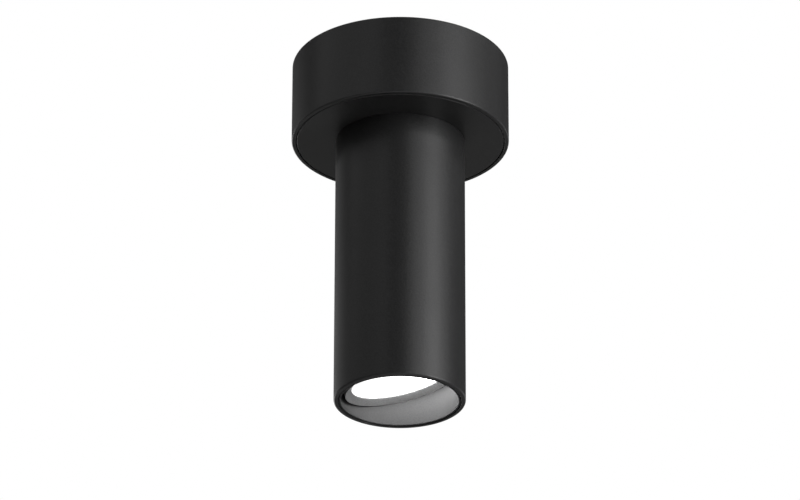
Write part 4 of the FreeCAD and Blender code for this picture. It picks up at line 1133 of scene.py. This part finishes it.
@dataclass
class LampHead:
    """The lamp head: its cup with a flared lip, and the lit disc in it.

    It is drawn about its pivot with the light straight down, then tilted and turned to its rest.
    """

    radius: float = 25.2 * MM  # radius of the cup
    rim: float = 26.67 * MM  # radius of the ball-shaped rim that runs close to the sleeve at every tilt
    ball_rows: int = 14  # rows of points down that ball
    cone_rows: int = 16  # rows of points from the ball back to the cup
    throat: float = 22.9 * MM  # radius of the opening in front of the disc
    throat_depth: float = 2.0 * MM  # how far the throat's foot lies below the pivot
    throat_round: float = 1.6 * MM  # radius of the bell mouth between throat and lip
    lip_depth: float = 4.2 * MM  # how far the lip lies below the pivot
    lip_land: float = 0.02 * MM  # width of the flat on the lip's edge
    wall: float = 1.45 * MM  # thickness of the cup
    seat: float = -1.4 * MM  # height of the disc's lower face
    disc_thickness: float = 1.6 * MM  # thickness of the disc
    disc_gap: float = 0.15 * MM  # gap round the disc
    disc_round: float = 0.3 * MM  # radius of the disc's edges
    disc_rim: float = 0.9 * MM  # width of the flat round its bulge
    disc_rows: int = 24  # rows of points across its bulge
    crown: float = 0.25 * MM  # how far the disc's middle bulges down
    shoulder: float = 6.0 * MM  # height where the cup starts to narrow
    shoulder_round: float = 0.6 * MM  # radius outside the shoulder
    bore_round: float = 1.0 * MM  # radius inside the shoulder
    inner_round: float = 0.3 * MM  # radius inside the top's edge
    height: float = 20.0 * MM  # height of the cup's top
    top_radius: float = 20.0 * MM  # radius of the cup's top
    top_round: float = 0.5 * MM  # radius of the top's outer edge
    flange_radius: float = 16.2 * MM  # radius of the opening in its top
    flange_round: float = 0.2 * MM  # radius of that opening's edge
    flange_thickness: float = 2.0 * MM  # thickness of its top
    recess_radius: float = 3.3 * MM  # radius of the two recesses in the rim for the pivots' washers
    recess_face: float = 25.6 * MM  # distance of their floors from the axis

    def __post_init__(self) -> None:
        """Reads the pivot, the aim and the tilt at rest from the head's joint."""
        joint = next(item for item in frame["joints"] if item["name"] == "head_tilt")
        axis = joint["axis"]
        self.pivot = tuple(joint["pos_m"])
        aim = math.degrees(math.atan2(axis[1], axis[0])) + QUARTER_TURN
        self.turn = turn_about_z(aim) @ turn_about_y(min(joint["range_deg"]))

    def placed(self, shell: Shell) -> Shell:
        """A shell of the head, tilted and turned to its rest."""
        return shell.moved(self.turn, self.pivot)

    def rim_corners(self) -> list[tuple[float, ...]]:
        """The rim: a zone of a ball about the pivot, sqrt(rim^2 - z^2), then a cone back to the cup.

        Returns:
            Its corners, from the lip's edge up.
        """
        ball = [
            (math.sqrt(self.rim ** 2 - height ** 2), height, 0.0)
            for height in np.linspace(-self.lip_depth + HOLDING_RUN, 0.0, self.ball_rows)]
        cone = [
            (self.rim + share * (self.radius - self.rim), share * self.shoulder, 0.0)
            for share in np.linspace(0.0, 1.0, self.cone_rows)[1:-1]]
        return ball + cone

    def recessed(self, shell: Shell) -> Shell:
        """Sinks the rim at both pivots: where x^2 + z^2 < recess^2, |y| is no more than the recess's face.

        Args:
            shell: the cup.

        Returns:
            The cup with its two recesses.
        """
        rings = shell.rings.copy()
        near = rings[..., 0] ** 2 + rings[..., 2] ** 2 < self.recess_radius ** 2
        proud = np.abs(rings[..., 1]) > self.recess_face
        rings[..., 1] = np.where(near & proud, np.sign(rings[..., 1]) * self.recess_face, rings[..., 1])
        return Shell(rings, shell.edge, shell.closed)

    def cup(self) -> None:
        """Makes the turned cup with its bell-mouthed lip, its ball-shaped rim and its tapered back."""
        taper = (self.radius - self.top_radius) / (self.height - self.shoulder)
        flange_low = self.height - self.flange_thickness
        inner_top = self.radius - taper * (flange_low - self.shoulder) - self.wall
        bore = self.radius - self.wall
        lip_edge = math.sqrt(self.rim ** 2 - self.lip_depth ** 2)
        wall = turned(outline(
            (self.throat, self.seat), (self.throat, -self.throat_depth, self.throat_round),
            (lip_edge - self.lip_land, -self.lip_depth), (lip_edge, -self.lip_depth), *self.rim_corners(),
            (self.radius, self.shoulder, self.shoulder_round), (self.top_radius, self.height, self.top_round),
            (self.flange_radius, self.height, self.flange_round), (self.flange_radius, flange_low),
            (inner_top, flange_low, self.inner_round), (bore, self.shoulder, self.bore_round),
            (bore, self.seat)))
        placed = self.placed(self.recessed(wall))
        piece("lamp_cup", [placed], Slot.SATIN_ANODISED, Body.LAMP_HEAD, "lamp_housing")

    def disc(self) -> None:
        """Makes the lit disc: height seat - crown (1 - (r / R)^2) below, flat above, softened at its rim."""
        radius = self.radius - self.wall - self.disc_gap
        face_radius = radius - self.disc_rim
        top = self.seat + self.disc_thickness
        rim = outline(
            (face_radius, self.seat), (radius, self.seat, self.disc_round), (radius, top, self.disc_round),
            (0.0, top), closed=False)
        share = np.linspace(0.0, 1.0, self.disc_rows, endpoint=False)
        face = np.column_stack([share * face_radius, self.seat - self.crown * (1 - share ** 2), 0 * share])
        shell = turned(np.vstack([face, rim]), closed=False)
        piece("lit_disc", [self.placed(shell)], Slot.OPAL, Body.LAMP_HEAD, "diffuser")

    def build(self) -> None:
        """Makes the cup and the lit disc."""
        self.cup()
        self.disc()


@dataclass(frozen=True)
class Lead:
    """One insulated lead inside the light."""

    name: str  # the piece's name
    node: str  # the CAD node that it stands for
    slot: Slot  # the slot of its insulation
    radius: float  # its radius
    route: tuple[Point, ...]  # the points that it follows, in millimetres
    around: int = 20  # points in a ring
    order: int = 3  # order of its spline
    resolution: int = 12  # points along each span of the spline
    first_side: Point = (0.3, 0.5, 0.8)  # any direction that no lead starts along

    def line(self) -> Array:
        """Points along the lead's smooth line, a NURBS spline with the route as its control points.

        Returns:
            Points as (number, 3), in metres.
        """
        data = bpy.data.curves.new(self.name, "CURVE")
        data.dimensions = "3D"
        data.resolution_u = self.resolution
        spline = data.splines.new("NURBS")
        spline.points.add(len(self.route) - 1)
        for control, place in zip(spline.points, self.route):
            control.co = (*(MM * value for value in place), 1.0)
        spline.order_u = self.order
        spline.use_endpoint_u = True
        holder = bpy.data.objects.new(self.name, data)
        mesh = bpy.data.meshes.new_from_object(holder)
        points = np.zeros(len(mesh.vertices) * 3)
        mesh.vertices.foreach_get("co", points)
        bpy.data.objects.remove(holder)
        bpy.data.meshes.remove(mesh)
        return points.reshape(-1, 3)

    def shell(self) -> Shell:
        """Circles along the line: p + radius (u cos a + v sin a), where u and v turn as little as they can.

        Returns:
            The shell, closed at both ends.
        """
        line = self.line()
        ahead = np.gradient(line, axis=0)
        ahead /= np.linalg.norm(ahead, axis=1, keepdims=True)
        side = np.cross(ahead[0], self.first_side)
        across = np.zeros_like(line)
        for index, direction in enumerate(ahead):
            side = side - direction * (side @ direction)
            side = side / np.linalg.norm(side)
            across[index] = side
        up = np.cross(ahead, across)
        angles = full_turn(self.around)[:, None]
        rings = line[:, None, :] + self.radius * (
            across[:, None, :] * np.cos(angles) + up[:, None, :] * np.sin(angles))
        ends = [np.broadcast_to(line[index], (1, self.around, 3)) for index in (0, -1)]
        rings = np.concatenate([ends[0], rings, ends[1]])
        return Shell(rings, np.zeros(len(rings)), False)


@dataclass
class Wiring:
    """The leads from the terminals to the driver, and from the driver to the lamp head."""

    core: float = 0.9 * MM  # radius of a single core
    sheath: float = 1.2 * MM  # radius of the sheathed lamp lead
    split: Point = (0.0, 0.0, -101.1)  # where the lamp lead goes over into the swivel lead
    tail: tuple[Point, ...] = ((0.0, 13.0, 42.5), (0.0, 13.0, 35.5))  # the lead's end, in the head's frame

    def leads(self, head: LampHead) -> list[Lead]:
        """Every lead with its route.

        Args:
            head: the lamp head, whose place at rest the last lead follows.

        Returns:
            The leads.
        """
        tail = [tuple(head.turn @ np.array(place) + np.array(head.pivot) / MM) for place in self.tail]
        return [
            Lead("live_core", "live_lead", Slot.BROWN, self.core, (
                (8.5, -25.0, -29.3), (8.5, -14.0, -29.3), (15.0, -4.0, -29.5), (18.0, 6.0, -29.8),
                (18.0, 17.0, -29.8))),
            Lead("neutral_core", "neutral_lead", Slot.BLUE, self.core, (
                (0.0, -25.0, -29.3), (0.0, -15.5, -29.3), (11.0, -5.0, -29.4), (12.0, 6.0, -29.8),
                (12.0, 17.0, -29.8))),
            Lead("earth_core", "earth_lead", Slot.GREEN_YELLOW, self.core, (
                (-8.5, -25.0, -29.3), (-8.5, -14.0, -29.3), (-13.5, -6.0, -32.0), (-18.0, -4.5, -34.8),
                (-25.0, -4.5, -34.8))),
            Lead("lamp_cable", "lamp_lead", Slot.LEAD_SHEATH, self.sheath, (
                (-14.0, 17.0, -29.5), (-14.0, 4.0, -29.5), (-12.5, -7.0, -19.0), (-6.5, -6.5, -9.5),
                (0.0, 0.0, -11.5), (0.0, 0.0, -32.0), (0.0, 0.0, -66.0), self.split)),
            Lead("swivel_cable", "swivel_lead", Slot.LEAD_SHEATH, self.sheath, (
                self.split, (0.0, 0.0, -108.1), *tail)),
        ]

    def build(self, head: LampHead) -> None:
        """Makes the leads; the last one follows the head at rest and rides on no body.

        Args:
            head: the lamp head.
        """
        for lead in self.leads(head):
            bends = lead.node == "swivel_lead"
            made = piece(lead.name, [lead.shell()], lead.slot, None if bends else Body.FIXTURE, lead.node)
            if bends:
                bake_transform(made)


def dress_cad_nodes() -> None:
    """Puts each CAD node's own finish on it, by its slot in the record."""
    for part in frame["record"]["subparts"]:
        node = frame["nodes"][part["node"]]
        material = material_of(Slot(part["material_slot"]))
        for place in node.material_slots:
            place.material = material
        if not node.hide_render:
            LOG.info("%s: CAD node with finish %s", node.name, material.name)


# Studio

def facing(place: Array, direction: Array, roll: float = 0.0) -> Matrix:
    """The matrix of a lamp or camera that stands at a place and looks along a direction.

    Args:
        place: where it stands.
        direction: where it looks.
        roll: degrees that it is turned about that direction.

    Returns:
        Its world matrix, with -Z along the direction and +Y as near to up as it can be.
    """
    ahead = direction / np.linalg.norm(direction)
    right = np.cross(ahead, (0.0, 0.0, 1.0))
    right /= np.linalg.norm(right)
    up = np.cross(right, ahead)
    cosine, sine = math.cos(math.radians(roll)), math.sin(math.radians(roll))
    columns = [right * cosine + up * sine, up * cosine - right * sine, -ahead, place]
    rows = [[float(column[index]) for column in columns] for index in range(3)]
    return Matrix([*rows, [0.0, 0.0, 0.0, 1.0]])


@dataclass(frozen=True)
class Softbox:
    """A soft rectangular lamp that faces the light."""

    name: str  # its name
    azimuth: float  # where it stands, in degrees from the camera's side towards +X
    elevation: float  # degrees above the light
    width: float  # its width
    radiance: float  # how bright its face is, where 1 is white
    height: float = 1.15  # its height
    distance: float = 2.6  # how far it stands from the light

    def build(self, target: Array) -> None:
        """Makes the lamp, which faces the target point."""
        data = bpy.data.lights.new(self.name, "AREA")
        data.shape = "RECTANGLE"
        data.size, data.size_y = self.width, self.height
        data.energy = self.radiance * math.pi * self.width * self.height
        lamp = bpy.data.objects.new(self.name, data)
        azimuth, elevation = math.radians(self.azimuth), math.radians(self.elevation)
        towards = np.array([
            math.sin(azimuth) * math.cos(elevation), -math.cos(azimuth) * math.cos(elevation),
            math.sin(elevation)])
        lamp.matrix_world = facing(target + self.distance * towards, -towards)
        lamp.visible_camera = False
        bpy.context.scene.collection.objects.link(lamp)


@dataclass
class Studio:
    """A plain studio: pale floor far below, white background, a few soft lamps and the camera."""

    lamps: tuple[Softbox, ...] = (
        Softbox("key", 59.0, 14.0, 1.15, 4.0),
        Softbox("key_low", 62.0, -11.0, 1.05, 7.0),
        Softbox("key_bottom", 68.0, -34.0, 0.9, 1.6),
        Softbox("key_left", 33.0, 15.0, 1.4, 1.9),
        Softbox("key_right", 82.0, 15.0, 0.92, 1.1),
        Softbox("left_high", -60.0, 40.0, 3.5, 0.5),
        Softbox("left_fill", -60.0, 15.0, 4.0, 0.13),
        Softbox("back_left", -134.0, 15.0, 3.3, 0.36),
        Softbox("right_high", 110.0, 40.0, 1.6, 0.22),
        Softbox("back_low", 180.0, -24.0, 2.4, 0.085, 1.7),
        Softbox("under", 0.0, -88.0, 3.0, 0.02, 2.2, 2.3),
        Softbox("over", 180.0, 84.0, 2.6, 0.45, 2.6, 2.4),
        Softbox("back_key", 205.0, 0.0, 1.1, 2.4),
        Softbox("back_fill", 140.0, 0.0, 1.4, 0.6),
    )
    dome: float = 0.06  # brightness of the even light from all round
    floor_colour: Colour = (0.8, 0.8, 0.79)  # the floor's colour
    floor_roughness: float = 0.9  # its roughness
    floor_depth: float = 2.6  # how far it lies below the ceiling
    floor_radius: float = 14.0  # its radius
    floor_steps: int = 96  # points round it
    shadow_radius: float = 0.5  # radius within which it keeps the light's shadow
    white_radius: float = 1.8  # radius past which it is white to the camera
    lens: float = 217.296  # the camera's focal length in millimetres
    sensor: float = 36.0  # width of its sensor in millimetres
    clip: tuple[float, float] = (0.01, 100.0)  # the nearest and the farthest that it sees
    distance: float = 2.2199  # from the camera to its target
    pitch: float = 26.19  # degrees that the camera looks up
    roll: float = 0.125  # degrees that it is turned about its line of sight
    target_height: float = -94.73 * MM  # height of its target on the axis

    def camera(self) -> None:
        """Stands the camera in front and below, as the photograph was taken."""
        data = bpy.data.cameras.new("camera")
        data.sensor_width, data.lens = self.sensor, self.lens
        data.clip_start, data.clip_end = self.clip
        camera = bpy.data.objects.new("camera", data)
        pitch = math.radians(self.pitch)
        ahead = np.array([0.0, math.cos(pitch), math.sin(pitch)])
        place = np.array([0.0, 0.0, self.target_height]) - ahead * self.distance
        camera.matrix_world = facing(place, ahead, self.roll)
        bpy.context.scene.collection.objects.link(camera)
        bpy.context.scene.camera = camera

    def world(self) -> None:
        """White to the camera and through glass, and an even dim dome for everything else."""
        world = bpy.data.worlds.new("studio")
        bpy.context.scene.world = world
        world.use_nodes = True
        nodes, links = world.node_tree.nodes, world.node_tree.links
        nodes.clear()
        rays = nodes.new("ShaderNodeLightPath")
        seen = nodes.new("ShaderNodeMath")
        seen.operation = "MAXIMUM"
        choose = nodes.new("ShaderNodeMixShader")
        out = nodes.new("ShaderNodeOutputWorld")
        links.new(rays.outputs["Is Camera Ray"], seen.inputs[0])
        links.new(rays.outputs["Is Transmission Ray"], seen.inputs[1])
        links.new(seen.outputs[0], choose.inputs[0])
        for number, strength in enumerate((self.dome, 1.0), start=1):
            sky = nodes.new("ShaderNodeBackground")
            sky.inputs["Color"].default_value = (*WHITE, 1.0)
            sky.inputs["Strength"].default_value = strength
            links.new(sky.outputs[0], choose.inputs[number])
        links.new(choose.outputs[0], out.inputs[0])

    def floor(self) -> None:
        """A large pale disc that keeps the light's shadow in its middle and fades to white for the camera."""
        angles = full_turn(self.floor_steps)
        ring = np.column_stack([
            self.floor_radius * np.cos(angles), self.floor_radius * np.sin(angles),
            np.full(self.floor_steps, -self.floor_depth)])
        mesh = bpy.data.meshes.new("floor")
        mesh.from_pydata(ring.tolist(), [], [list(range(self.floor_steps))])
        floor = bpy.data.objects.new("floor", mesh)
        bpy.context.scene.collection.objects.link(floor)
        sheet = NodeSheet("pale_floor")
        sheet.feed(sheet.shader, {
            "Base Color": (*self.floor_colour, 1.0), "Roughness": self.floor_roughness,
            "Specular IOR Level": 0.0})
        far = sheet.spread(sheet.from_axis(), 0.0, 1.0, self.shadow_radius, self.white_radius)
        rays = sheet.add("ShaderNodeLightPath")
        white = sheet.calculate("MULTIPLY", rays.outputs["Is Camera Ray"], far)
        glow = sheet.add("ShaderNodeEmission", {"Color": (*WHITE, 1.0), "Strength": 1.0})
        choose = sheet.add("ShaderNodeMixShader", {0: white, 1: sheet.shader.outputs[0], 2: glow.outputs[0]})
        sheet.feed(sheet.tree.nodes["Material Output"], {"Surface": choose.outputs[0]})
        mesh.materials.append(sheet.material)

    def build(self) -> None:
        """Sets up the camera, the background, the floor and the lamps."""
        self.camera()
        self.world()
        self.floor()
        for lamp in self.lamps:
            lamp.build(np.array([0.0, 0.0, self.target_height]))
        bpy.context.scene.view_settings.view_transform = "Standard"


def main() -> None:
    """Builds the studio and the light, sub-assembly by sub-assembly."""
    logging.basicConfig(level=logging.INFO, format="%(name)s %(message)s")
    Studio().build()
    CeilingPlate().build()
    Canopy().build()
    Tube().build()
    Sleeve().build()
    head = LampHead()
    head.build()
    Wiring().build(head)
    dress_cad_nodes()


if __name__ == "__main__":
    main()
